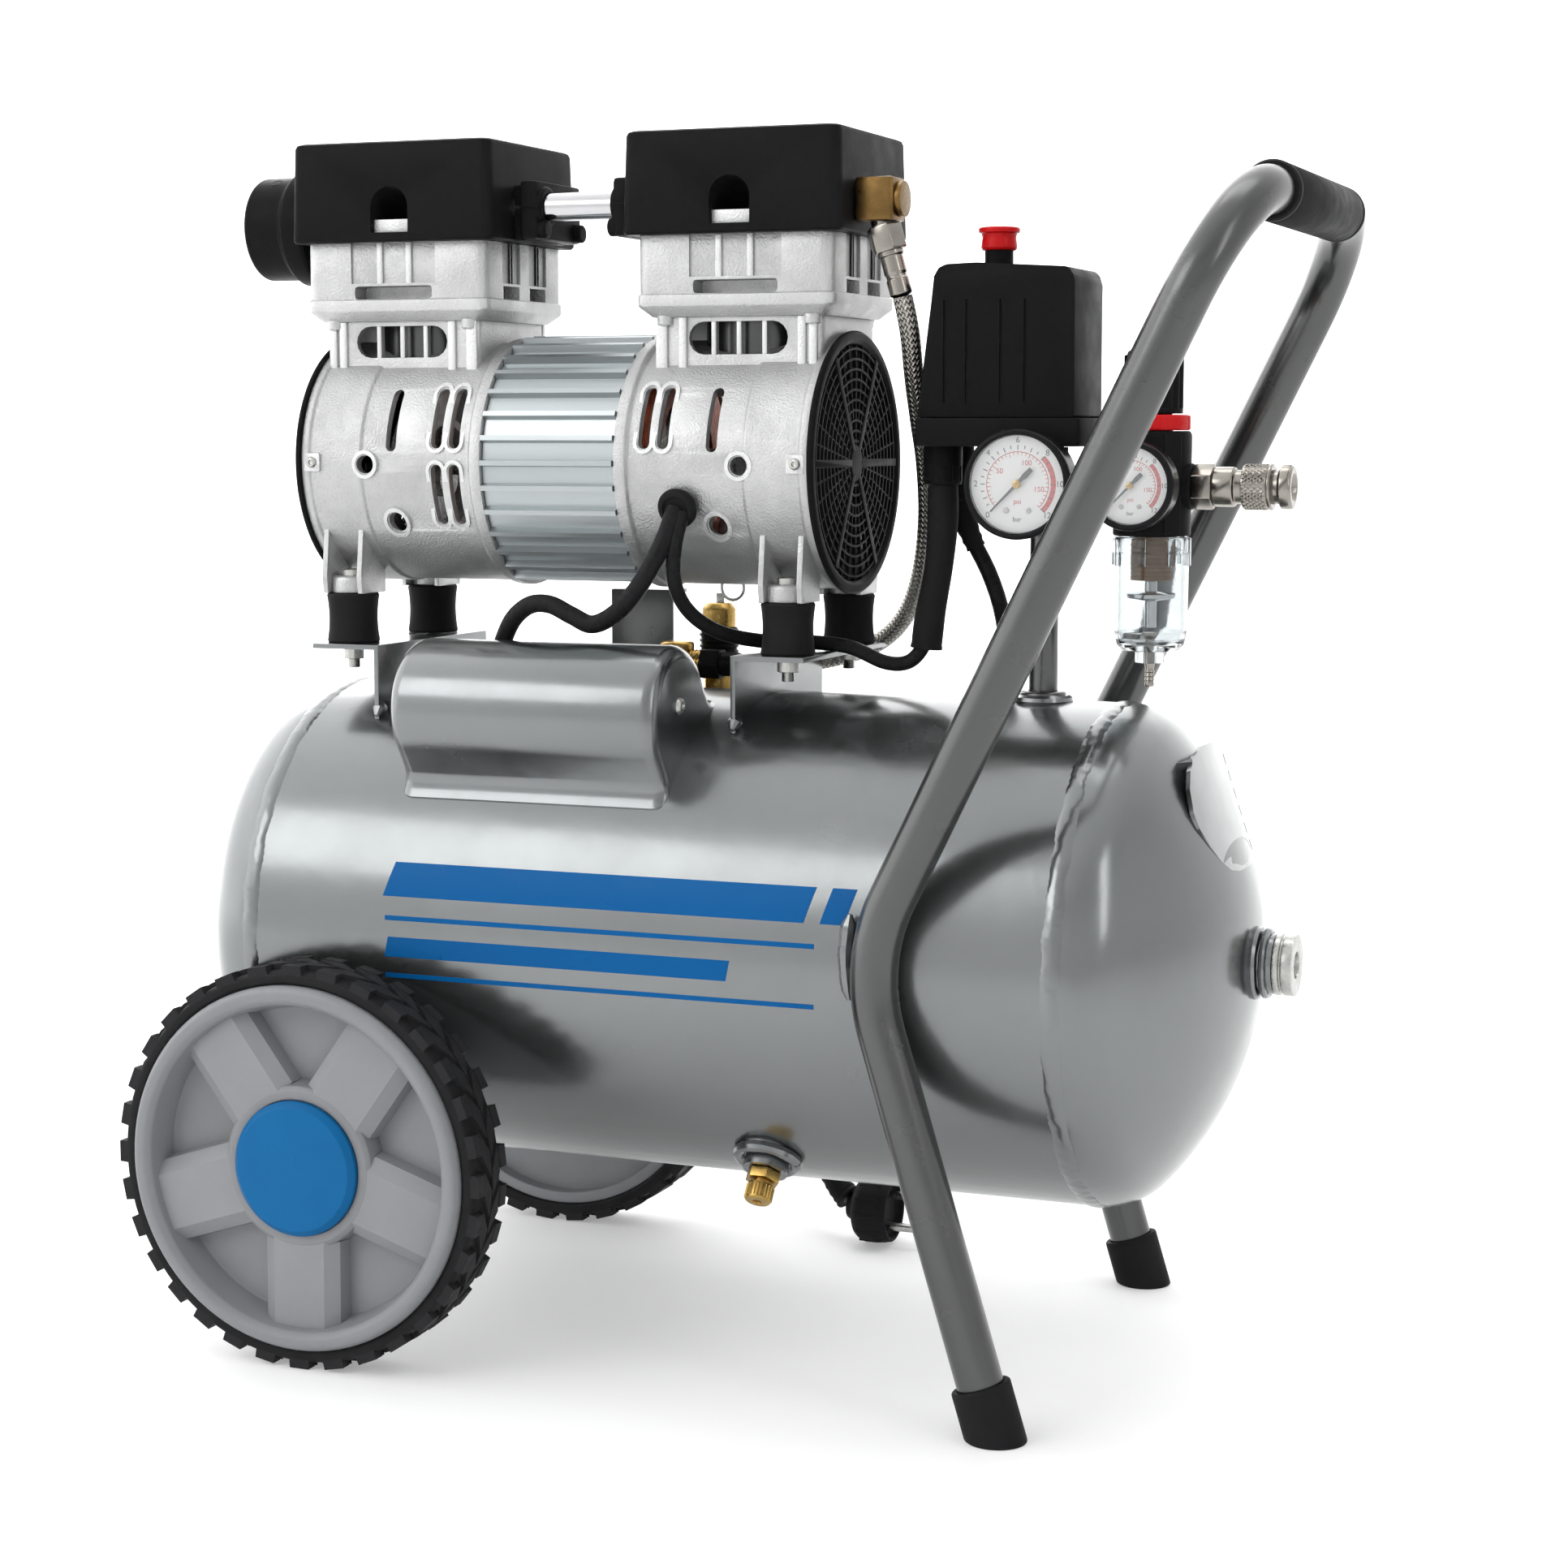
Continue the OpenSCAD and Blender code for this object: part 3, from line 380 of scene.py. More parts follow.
def joined(bm, rings):
    """Quads between each ring of vertices and the next."""
    count = len(rings[0])
    return [bm.faces.new((one[k], one[(k + 1) % count], two[(k + 1) % count], two[k]))
            for one, two in zip(rings, rings[1:]) for k in range(count)]


def extruded(bm, outline, low, high, place=Matrix.Identity(4), bevel=0.5, steps=2):
    """Prism of a 2D outline from low to high along local Z."""
    bottom = [bm.verts.new(place @ Vector((p[0], p[1], low))) for p in outline]
    top = [bm.verts.new(place @ Vector((p[0], p[1], high))) for p in outline]
    ends = [bm.faces.new(bottom[::-1]), bm.faces.new(top)]
    joined(bm, [bottom, top])
    if bevel:
        rim = [e for f in ends for e in f.edges]
        bmesh.ops.bevel(bm, geom=rim, offset=bevel, segments=steps, profile=0.6, affect="EDGES",
                        clamp_overlap=True)


def ring_points(x, y, radius, steps=28):
    """Points round a flat circle."""
    return [(x + radius * math.cos(math.tau * k / steps), y + radius * math.sin(math.tau * k / steps))
            for k in range(steps)]


def rectangle(x0, y0, x1, y1, corner=0.0, steps=3):
    points = [(x0, y0), (x1, y0), (x1, y1), (x0, y1)]
    return soft(points, corner, steps=steps) if corner else points


def stadium(x, y, width, height):
    """Upright slot with round ends, centred on x, y."""
    r, steps = width / 2, 8
    rise = height / 2 - r
    halves = ((rise, range(steps + 1)), (-rise, range(steps, 2 * steps + 1)))
    return [(x + r * math.cos(math.pi * k / steps), y + lift + r * math.sin(math.pi * k / steps))
            for lift, half in halves for k in half]


def block(bm, low, high, bevel=0.8, place=Matrix.Identity(4), corner=0.0):
    """Box between two opposite corners with rounded edges; corner rounds its upright edges more."""
    (x0, x1), (y0, y1), (z0, z1) = (sorted(pair) for pair in zip(low, high))
    extruded(bm, rectangle(x0, y0, x1, y1, corner or bevel), z0, z1, place, bevel)


def box(low, high, place=Matrix.Identity(4)):
    """Plain box as a mesh of its own, to cut with."""
    bm = bmesh.new()
    block(bm, low, high, 0, place)
    return bm


def hexagon(bm, flats, low, high, place, chamfer=0.6):
    """Hexagonal nut or bolt body with turned-down corners."""
    outline = ring_points(0, 0, flats / math.sqrt(3), 6)
    extruded(bm, soft(outline, 0.5, steps=2), low, high, place, chamfer)


def path_frames(path):
    """Tangent and side vectors along a path, without twist."""
    count = len(path)
    tangents = [(path[min(i + 1, count - 1)] - path[max(i - 1, 0)]).normalized() for i in range(count)]
    side = tangents[0].orthogonal().normalized()
    frames = []
    for tangent in tangents:
        side = (side - tangent * side.dot(tangent)).normalized()
        frames.append((tangent, side, tangent.cross(side)))
    return frames


def swept(bm, path, radius, sides=16):
    """Round tube along a path, with a Pattern UV map in turns and in girths along it."""
    path = [Vector(p) for p in path]
    frames = path_frames(path)
    uv = bm.loops.layers.uv.get("Pattern") or bm.loops.layers.uv.new("Pattern")
    rings, run = [], [0.0]
    for i, (point, (_, side, across)) in enumerate(zip(path, frames)):
        r = radius(i / (len(path) - 1)) if callable(radius) else radius
        if i:
            run.append(run[-1] + (point - path[i - 1]).length / (math.tau * r))
        rings.append([bm.verts.new(point + side * (r * math.cos(math.tau * k / sides))
                      + across * (r * math.sin(math.tau * k / sides))) for k in range(sides)])
    for i, (low, high) in enumerate(zip(rings, rings[1:])):
        for k in range(sides):
            face = bm.faces.new((low[k], low[(k + 1) % sides], high[(k + 1) % sides], high[k]))
            corners = ((k, i), (k + 1, i), (k + 1, i + 1), (k, i + 1))
            for loop, (turn, row) in zip(face.loops, corners):
                loop[uv].uv = (turn / sides, run[row])
    bm.faces.new(rings[0][::-1])
    bm.faces.new(rings[-1])


def smooth_path(points, steps):
    """Catmull-Rom curve through given points."""
    points = [Vector(p) for p in points]
    last = len(points) - 1
    out = []
    for i in range(last):
        a, b, c, d = points[max(i - 1, 0)], points[i], points[i + 1], points[min(i + 2, last)]
        for k in range(steps):
            t = k / steps
            out.append(0.5 * (2 * b + (c - a) * t + (2 * a - 5 * b + 4 * c - d) * t * t
                              + (3 * b - a - 3 * c + d) * t ** 3))
    return out + [points[-1]]


def publish(name, bm, material, replaces=(), body="frame", scale=MM, smooth=32):
    """Turns a mesh into a piece that rides on a body and stands for CAD nodes."""
    bmesh.ops.recalc_face_normals(bm, faces=bm.faces)
    bmesh.ops.scale(bm, vec=(scale,) * 3, verts=bm.verts)
    mesh = bpy.data.meshes.new(name)
    bm.to_mesh(mesh)
    bm.free()
    mesh.shade_smooth()
    mesh.set_sharp_from_angle(angle=math.radians(smooth))
    mesh.materials.append(material)
    piece = bpy.data.objects.new(name, mesh)
    bpy.context.scene.collection.objects.link(piece)
    if body:
        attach(piece, body)
    if replaces:
        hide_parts(*replaces)
    return piece


def broken_edges(node, name, width, material, steps=2):
    """A copy of a CAD node with its sharp edges rounded, which stands for it."""
    bm = bmesh.new()
    bm.from_mesh(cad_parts[node].data)
    bmesh.ops.scale(bm, vec=(1 / MM,) * 3, verts=bm.verts)
    bmesh.ops.remove_doubles(bm, verts=bm.verts, dist=0.002)
    bmesh.ops.dissolve_limit(bm, angle_limit=math.radians(0.8), verts=bm.verts, edges=bm.edges)
    bevelled(bm, bm.faces, width, steps, 28)
    publish(name, bm, material, (node,))


def merged(*sources):
    """One mesh that holds all the given ones, which it uses up."""
    out = bmesh.new()
    for source in sources:
        mesh = bpy.data.meshes.new("merged")
        source.to_mesh(mesh)
        source.free()
        out.from_mesh(mesh)
        bpy.data.meshes.remove(mesh)
    return out


def carved(bm, cutters):
    """The mesh with the cutters taken away; the cutters don't overlap each other."""
    made = []
    for name, source in (("stock", bm), ("cutter", merged(*cutters))):
        bmesh.ops.recalc_face_normals(source, faces=source.faces)
        mesh = bpy.data.meshes.new(name)
        source.to_mesh(mesh)
        source.free()
        thing = bpy.data.objects.new(name, mesh)
        bpy.context.scene.collection.objects.link(thing)
        made.append(thing)
    cut = made[0].modifiers.new("cut", "BOOLEAN")
    cut.operation = "DIFFERENCE"
    cut.solver = "EXACT"
    cut.object = made[1]
    graph = bpy.context.evaluated_depsgraph_get()
    out = bmesh.new()
    out.from_mesh(made[0].evaluated_get(graph).to_mesh())
    for thing in made:
        bpy.data.objects.remove(thing)
    return out


def dress(node, material):
    """Gives a CAD node that stays as it is its finish."""
    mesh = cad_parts[node].data
    mesh.materials.clear()
    mesh.materials.append(material)


# ---- finishes ----
# Where a finish below darkens its hollows, that darkening is painted shade.
TANK_PAINT = paint("tank_paint", (0.20, 0.21, 0.212), metallic=0.92, roughness=0.23, spread=0.035,
                   patch=0.12, rough_spread=0.05, grain=0.00002, grain_size=0.0007, coat=0.25, wave=0.00012)
FRAME_PAINT = paint("frame_paint", (0.10, 0.101, 0.101), metallic=0.92, roughness=0.26, spread=0.02,
                    patch=0.05, rough_spread=0.02, grain=0.00002, grain_size=0.0006, coat=0.15)
CAST = paint("cast_alloy", (0.46, 0.463, 0.462), metallic=0.85, roughness=0.47, spread=0.11, patch=0.03,
             grain=0.00036, grain_size=0.0011, wear=0.4, hollow_shade=0.5)
EXTRUDED = paint("extruded_alloy", (0.40, 0.43, 0.44), metallic=0.80, roughness=0.36, spread=0.05,
                 patch=0.05, stretch=(0.06, 1, 1), grain=0.00003, grain_size=0.0006, hollow_shade=0.4)
ZINC = paint("plated_steel", (0.48, 0.48, 0.46), metallic=1.0, roughness=0.30, spread=0.08, patch=0.008,
             grain=0.00002, grain_size=0.0004, hollow_shade=0.4)
NICKEL = paint("nickel", (0.31, 0.29, 0.26), metallic=1.0, roughness=0.20, spread=0.05, patch=0.01,
               hollow_shade=0.3, rough_spread=0.05, grain=0.00001, grain_size=0.0004)
CHROME = paint("chromed_tube", (0.52, 0.52, 0.53), metallic=1.0, roughness=0.10, spread=0.03, patch=0.02,
               rough_spread=0.04, grain=0.00001, grain_size=0.0005)
BRASS = paint("brass", (0.46, 0.30, 0.09), metallic=1.0, roughness=0.30, spread=0.12, patch=0.007,
              hollow_shade=0.5, grain=0.00003, grain_size=0.0004)
BRONZE = paint("aged_brass", (0.17, 0.102, 0.036), metallic=1.0, roughness=0.34, spread=0.16, patch=0.007,
               hollow_shade=0.5, grain=0.00003, grain_size=0.0004)
COPPER = paint("windings", (0.42, 0.10, 0.04), metallic=0.4, roughness=0.4, spread=0.3, patch=0.006,
               grain=0.0003, grain_size=0.0015)
COVER = paint("cover_plastic", (0.0095, 0.0095, 0.010), roughness=0.38, spread=0.10, patch=0.05,
              grain=0.00006, grain_size=0.0007, wear=0.25, shine=0.03)
GLOSS_BLACK = paint("gloss_black", (0.012, 0.012, 0.013), roughness=0.22, spread=0.08, patch=0.03,
                    grain=0.00001, grain_size=0.0006, wear=0.2, shine=0.06)
RUBBER = paint("soft_black", (0.016, 0.016, 0.017), roughness=0.52, spread=0.12, patch=0.03, grain=0.00005,
               grain_size=0.0008, wear=0.15, shine=0.03)
JACKET = paint("cable_jacket", (0.014, 0.014, 0.015), roughness=0.30, spread=0.10, patch=0.02,
               grain=0.00003, grain_size=0.001, shine=0.06)
TREAD = paint("tread", (0.016, 0.016, 0.017), roughness=0.60, spread=0.16, patch=0.02, grain=0.00010,
              grain_size=0.0009, wear=0.5, shine=0.08)
WHEEL_GREY = paint("wheel_grey", (0.215, 0.22, 0.23), roughness=0.42, spread=0.04, patch=0.04,
                   grain=0.00004, grain_size=0.0008, wear=0.12, hollow_shade=0.35, shine=0.4)
BLUE = paint("cap_blue", (0.003, 0.114, 0.30), roughness=0.35, spread=0.05, patch=0.03, grain=0.00003,
             grain_size=0.0006, wear=0.1, shine=0.12)
STRIPE_BLUE = paint("stripe_blue", (0.001, 0.09, 0.28), roughness=0.34, spread=0.015, patch=0.03,
                    grain=0.00001, grain_size=0.0007, shine=0.1)
RED = paint("signal_red", (0.55, 0.008, 0.010), roughness=0.30, spread=0.05, patch=0.02, grain=0.00002,
            grain_size=0.0006, wear=0.1, shine=0.15)
BROWN = paint("filter_brown", (0.24, 0.13, 0.06), roughness=0.6, spread=0.2, patch=0.004, grain=0.0002,
              grain_size=0.0007)
DIAL = paint("dial_white", (0.86, 0.86, 0.85), roughness=0.45, spread=0.015, patch=0.01, grain=0.00001)
INK = paint("dial_ink", (0.02, 0.02, 0.022), roughness=0.5, spread=0.05, patch=0.01, grain=0.00001)
RED_INK = paint("dial_red", (0.55, 0.03, 0.03), roughness=0.5, spread=0.05, patch=0.01, grain=0.00001)
STEEL_BRAID = braid("steel_braid", (0.40, 0.385, 0.35), (0.03, 0.028, 0.025), 13, 1.0, 0.28)
BOWL = clear("clear_bowl", (0.74, 0.77, 0.78), 0.05)
LENS = clear("gauge_lens", (0.9, 0.92, 0.93), 0.02, 0.0, 0.07)


# ---- mains lead: the same route as in the part ----
CORD_R = 4.0
COIL = Vector((MID - 40, 346, 0))
COIL_R = 44.0
COIL_TURNS = 3.5
LEAD = [
    (119, 13, 430.8), (120, 13, 420), (126, 13.5, 404), (134, 15, 388), (139, 19, 371), (139, 29, 353),
    (134, 44, 336), (127, 62, 319), (119, 82, 303), (111, 99, 285), (103, 113, 264), (96, 123, 237),
    (90, 129, 208), (85, 134, 180), (79, 141, 152), (72, 151, 124), (62, 165, 98), (49, 184, 74),
    (35, 208, 54), (23, 236, 39), (12, 269, 30), (6, 307, 29), (4, 346, 32.2),
]
TAIL = [
    (-84, 346, 4.2), (-84, 326, 4.4), (-82, 304, 6), (-78, 282, 12), (-71, 258, 20), (-61, 236, 28),
    (-48, 214, 36), (-34, 194, 42), (-20, 178, 43), (-8, 166, 38), (2, 159, 30), (10, 156, 24),
]


def along_tank(points):
    """Route points measured from the tank's middle."""
    return [Vector((MID + x, y, z)) for x, y, z in points]


def mains_lead():
    """The lead from the switch, its coil and its plug, as one tube."""
    lead, tail = along_tank(LEAD), along_tank(TAIL)
    steps = round(16 * COIL_TURNS)
    drop = lead[-1].z - tail[0].z
    turns = [COIL + Vector((COIL_R * math.cos(math.tau * COIL_TURNS * k / steps),
                            COIL_R * math.sin(math.tau * COIL_TURNS * k / steps),
                            lead[-1].z - drop * k / steps)) for k in range(1, steps)]
    path = smooth_path(lead, 3) + turns + smooth_path(tail, 3)
    bm = bmesh.new()
    swept(bm, path, CORD_R, 14)
    cord = publish("mains_lead", bm, JACKET, ("power_cord", "power_cord_coil"))
    bm = bmesh.new()
    plug = span("power_plug")
    centre = Vector((MID + 16, 155, 19.4))
    place = axis_frame(centre, X)
    profile = soft([(0, 0.2), (15, 0.2), (18.8, 5), (18.8, 14), (17.5, 21.8), (15.6, 21.8), (15.2, 17),
                    (0, 17)], 2.0, closed=False)
    turned(bm, profile, place, 40)
    lathed(bm, [(0, -5.8), (6.0, -5.8), (8.6, -1), (8.8, 1), (0, 1)], 1, place, 24)
    for spin in around(place, 12):
        block(bm, (17.6, -0.9, 4), (18.95, 0.9, 17), 0.4, spin)
    publish("plug_body", bm, RUBBER, ("power_plug",))
    bm = bmesh.new()
    for side in (-1, 1):
        spin = place @ spun(math.radians(-38)) @ moved(0, side * 9.5, 0)
        lathed(bm, [(0, 16), (2.4, 16), (2.4, plug[1].x - centre.x), (0, plug[1].x - centre.x)], 0.8, spin,
               20)
    pins = publish("plug_pins", bm, ZINC)
    relief = bmesh.new()
    boot = smooth_path(tail[-3:], 6)
    swept(relief, boot, lambda t: 4.9 + 2.9 * t + (0.5 if int(t * 12) % 2 else 0), 18)
    boot_piece = publish("plug_relief", relief, RUBBER)
    relief = bmesh.new()
    stub = smooth_path(lead[:4], 8)[:-6]
    swept(relief, stub, lambda t: 7.2 - 2.2 * t - (0.5 if int(t * 14) % 2 else 0), 18)
    gland_piece = publish("lead_relief", relief, RUBBER)


# ---- tank ----
def ripple(*values):
    """Repeatable unevenness between -1 and 1."""
    fast = sum(v * f for v, f in zip(values, (12.9, 78.2, 37.7)))
    slow = sum(v * f for v, f in zip(values, (4.1, 9.7, 21.3)))
    return 0.6 * math.sin(fast) + 0.4 * math.sin(slow)


def weld(bm, path, width, closed=False):
    """Uneven weld bead along a path, made of overlapping ripples."""
    points = [Vector(p) for p in path]
    if closed:
        points.append(points[0])
    fine = [points[0]]
    for a, b in zip(points, points[1:]):
        steps = max(1, round((b - a).length / 1.6))
        fine += [a.lerp(b, k / steps) for k in range(1, steps + 1)]
    count = len(fine) - 1

    def size(t):
        k = t * count
        lump = 1 + 0.10 * ripple(0.07 * k, width) + 0.05 * (k % 2)
        end = 1 if closed else min(1, 0.35 + 0.65 * min(k, count - k) / 3)
        return width / 2 * lump * end
    swept(bm, fine, size, 9)


def bead_ring(bm, x):
    """Flat uneven bead round the tank at a seam."""
    rounds, across = 420, 7
    grid = []
    for k in range(rounds):
        a = math.tau * k / rounds
        shift = 0.5 * ripple(2 * math.sin(a), 3 * math.cos(a)) + 0.12 * ripple(9 * math.sin(3 * a), x)
        row = []
        for j in range(across):
            t = 2 * j / (across - 1) - 1
            lump = 1 + 0.10 * ripple(k * 0.11, t) + 0.05 * math.sin(k * 0.9 + t * t * 2)
            lift = 1.1 * (1 - t * t) * lump - 0.3
            row.append(bm.verts.new((x + shift + t * (4.6 + 0.5 * ripple(k * 0.05, 1)),
                                     (TANK_R + lift) * math.sin(a),
                                     TANK.z + (TANK_R + lift) * math.cos(a))))
        grid.append(row)
    for k in range(rounds):
        one, two = grid[k], grid[(k + 1) % rounds]
        for j in range(across - 1):
            bm.faces.new((one[j], one[j + 1], two[j + 1], two[j]))
        bm.faces.new((one[-1], one[0], two[0], two[-1]))


def on_tank(x, angle, lift=0.0):
    """Point on the tank's skin: angle is measured up from the near side."""
    a = math.radians(angle)
    return Vector((MID + x, -(TANK_R + lift) * math.cos(a), TANK.z + (TANK_R + lift) * math.sin(a)))


def band(bm, x0, x1, low, high, slant=0.0):
    """Thin painted stripe round the skin between two angles, with slanted ends."""
    steps, lift = 10, 0.12
    rows = []
    for k in range(steps + 1):
        t = k / steps
        angle = low + (high - low) * t
        rows.append([bm.verts.new(on_tank(x + slant * t, angle, r)) for x, r in
                     ((x0, -0.3), (x0, lift), (x1, lift), (x1, -0.3))])
    joined(bm, rows)
    bm.faces.new(rows[0])
    bm.faces.new(rows[-1][::-1])


def circle(centre, direction, radius, steps=40):
    place = axis_frame(centre, direction)
    return [place @ Vector((x, y, 0)) for x, y in ring_points(0, 0, radius, steps)]


def tank_ends():
    """Domed ends with a knuckle and a crown radius, and the threaded boss in the front one."""
    knuckle = 35
    depth = MID - SEAM - span("tank_heads")[0].x
    q = TANK_R - knuckle
    crown = (q * q + depth * depth - knuckle * knuckle) / (2 * (depth - knuckle))
    meet = math.asin(q / (crown - knuckle))
    outline = [(0, -3), (TANK_R, -3)]
    for k in range(15):
        a = (math.pi / 2 - meet) * k / 14
        outline.append((q + knuckle * math.cos(a), knuckle * math.sin(a)))
    for k in range(1, 21):
        a = meet * (1 - k / 20)
        outline.append((crown * math.sin(a), depth - crown + crown * math.cos(a)))
    outline[-1] = (0, depth)
    bm = bmesh.new()
    for side in (-1, 1):
        turned(bm, outline, axis_frame((MID + side * SEAM, 0, TANK.z), X * side), 128)
    boss = soft([(9.05, depth - 3), (14.5, depth - 3), (14.5, depth + 9.5), (9.05, depth + 9.5)], 0.9)
    turned(bm, boss, axis_frame((MID + SEAM, 0, TANK.z), X), 64, closed=True)
    publish("tank_ends", bm, TANK_PAINT, ("tank_heads",), smooth=50)


def tank_group():
    dress("tank_shell", TANK_PAINT)
    tank_ends()
    bm = bmesh.new()
    for side in (-1, 1):
        bead_ring(bm, MID + side * SEAM)
    boss = axis_frame(TANK, DRAIN_WAY) @ Vector((0, 0, TANK_R + 2.2))
    boss.x = DRAIN_X
    weld(bm, circle(boss, DRAIN_WAY, 14.5), 6, closed=True)
    end_x = span("tank_heads")[1].x
    weld(bm, circle((end_x - 9.5, 0, TANK.z), X, 15.2), 5, closed=True)
    weld(bm, circle((end_x - 4.4, 0, TANK.z), X, 15.4), 3.4, closed=True)
    weld(bm, circle((RISER_X, 0, TANK.z + TANK_R + 0.6), Z, 12.2), 5, closed=True)
    for x in (-97.7, 98.2):
        for y in (-57, 57):
            low = TANK.z + math.sqrt(TANK_R ** 2 - y * y)
            bead = [(MOTOR.x + x, y - 4, low), (MOTOR.x + x, y, low + 4), (MOTOR.x + x, y + 3, low - 1)]
            weld(bm, bead, 7)
    for x, angle in ((-128, 42), (-118, 71)):
        weld(bm, [on_tank(x, angle), on_tank(x + 9, angle + 0.4)], 5)
    publish("tank_welds", bm, TANK_PAINT)
    bm = bmesh.new()
    band(bm, -133, 88, 12.5, 20.5, slant=5)
    band(bm, 96, 108, 12.5, 20.5, slant=5)
    band(bm, -131, 94, 7.0, 8.1)
    band(bm, -131, 50, -1.4, 3.2, slant=2)
    band(bm, -131, 94, -6.3, -5.2)
    publish("tank_stripes", bm, STRIPE_BLUE)
    low, high = span("front_plug")
    bm = bmesh.new()
    place = axis_frame((low.x, 0, TANK.z), X)
    length = high.x - low.x
    lathed(bm, [(0, 0), (8.8, 0), (8.9, 11.4), (14.9, 11.6), (14.9, 14.4), (13.9, 14.9), (13.9, 15.6),
                (14.9, 16), (14.9, length), (6.4, length), (6.4, length - 6), (0, length - 6)], 0.7, place,
           56, fine=2)
    extruded(bm, ring_points(0, 0, 5.8, 6), length - 5.9, length - 3.2, place, 0.2)
    publish("end_plug", bm, ZINC, ("front_plug",))
    drain_tap()
    broken_edges("data_plate_bracket", "plate_bracket", 0.7, TANK_PAINT)


def drain_tap():
    """Brass drain cock with a knurled thumb screw, on its joint's axis."""
    place = axis_frame((DRAIN_X, 0, TANK.z), DRAIN_WAY) @ moved(0, 0, TANK_R)
    bm = bmesh.new()
    hexagon(bm, 15, 9.4, 14.6, place)
    lathed(bm, [(0, 0.5), (4.9, 0.5), (4.9, 9), (4.2, 15), (4.2, 16), (6.5, 16.2), (6.5, 24.2), (5.8, 25),
                (2.2, 25), (2.0, 22), (0, 22)], 0.4, place, 36, fine=2)
    for spin in around(place, 24):
        extruded(bm, [(6.1, -0.55), (6.95, 0), (6.1, 0.55)], 17, 23.8, spin, 0.2, 1)
    publish("drain_tap", bm, BRASS, ("drain_cock",), body="tank_drain")


# ---- wheels ----
def lug(bm, side, angle, wide, h0, h1, low, high, skew=0.0):
    """One tread block between two heights across the tyre."""
    corners = []
    for r in (low, high):
        for h, turn in ((h0, 0.0), (h1, skew)):
            for edge in (-0.5, 0.5):
                a = angle + turn + edge * wide * (1 if r == low else 0.86)
                corners.append(bm.verts.new((WHEEL.x + r * math.sin(a), side * h,
                                             WHEEL.z + r * math.cos(a))))
    a, b, c, d, e, f, g, h = corners
    quads = ((a, b, d, c), (e, g, h, f), (a, e, f, b), (c, d, h, g), (a, c, g, e), (b, f, h, d))
    bevelled(bm, [bm.faces.new(q) for q in quads], 0.45, 1, 50)


def wheel_group(side, label):
    """side is -1 for the near wheel and 1 for the far one; heights are distances from the middle plane."""
    body = f"{label}_wheel"
    place = axis_frame((WHEEL.x, 0, WHEEL.z), Y * side)
    face = -FRONT
    inner = -span("tyre_near")[1].y
    rim_r = WHEEL_R - 10
    floor = face - 19
    bm = bmesh.new()
    ringed(bm, [(rim_r, inner + 2), (rim_r + 0.2, face - 3.4), (rim_r - 1.6, face - 0.6),
                (rim_r - 3.4, face), (rim_r - 6.6, face - 0.3), (rim_r - 9.4, face - 3),
                (rim_r - 12.5, floor), (34, floor), (34, floor - 5), (rim_r - 6.5, floor - 5),
                (rim_r - 6.5, inner + 2)], 1.2, place, 96)
    ringed(bm, [(12.9, face - 15.4), (12.9, face - 8), (33.8, face - 8), (33.8, face - 6.8),
                (38.2, face - 6.8), (40.5, face - 8.5), (42, floor), (20, floor), (20, face - 38.2),
                (6.3, face - 38.2), (6.3, face - 15.4)], 0.6, place, 72)
    for spin in around(place, 5, -math.pi / 2):
        wheel_spoke(bm, spin, 36, rim_r - 8.6, floor - 1, face - 5.6)
    publish(f"{label}_wheel_disc", bm, WHEEL_GREY, (f"wheel_{label}",), smooth=28, body=body)
    bm = bmesh.new()
    lathed(bm, [(12, face - 7.6), (31, face - 7.6), (33.5, face - 7.4), (33.6, face - 4.6),
                (30.6, face - 2), (0, face - 2)], 0.5, place, 72)
    publish(f"{label}_wheel_cap", bm, BLUE, (f"wheel_cap_{label}",), body=body)
    bm = bmesh.new()
    outer = face - 4.6
    ringed(bm, [(rim_r + 0.1, inner), (rim_r + 5.4, inner), (WHEEL_R - 3.2, inner + 2.4),
                (WHEEL_R - 2.4, (inner + outer) / 2), (WHEEL_R - 3.2, outer - 2.4), (rim_r + 5.4, outer),
                (rim_r + 1.4, outer), (rim_r + 0.1, outer - 1.2)], 1.4, place, 128)
    count, centre = 32, (inner + outer) / 2
    step = math.tau / count
    for k in range(count):
        a = k * step
        lug(bm, side, a, 0.62 * step, outer - 0.3, outer - 6.6, WHEEL_R - 7.4, WHEEL_R - 0.15)
        lug(bm, side, a + 0.5 * step, 0.62 * step, inner + 0.3, inner + 6.6, WHEEL_R - 7.4, WHEEL_R - 0.15)
        for shift, edge, end in ((0.02, outer - 7.2, centre + 0.5), (0.52, inner + 7.2, centre - 0.5)):
            lug(bm, side, a + shift * step, 0.78 * step, edge, end, WHEEL_R - 4, WHEEL_R - 0.3, 0.55 * step)
    publish(f"{label}_wheel_tyre", bm, TREAD, (f"tyre_{label}",), smooth=40, body=body)


def wheel_spoke(bm, place, near, far, low, face):
    """Broad spoke with bevelled long sides, from the hub to the rim."""
    rows = []
    for r, half, top in ((near, 20.5, face - 1.5), (far - 3, 20.5, face - 0.8), (far, 20.5, face - 1.6)):
        profile = ((-half - 1.5, low), (-half, top - 4.4), (-half + 6.6, top), (half - 6.6, top),
                   (half, top - 4.4), (half + 1.5, low))
        rows.append([bm.verts.new(place @ Vector((r, y, h))) for y, h in profile])
    faces = [bm.faces.new(rows[0]), bm.faces.new(rows[-1][::-1])]
    bevelled(bm, faces + joined(bm, rows), 0.9, 2, 20)


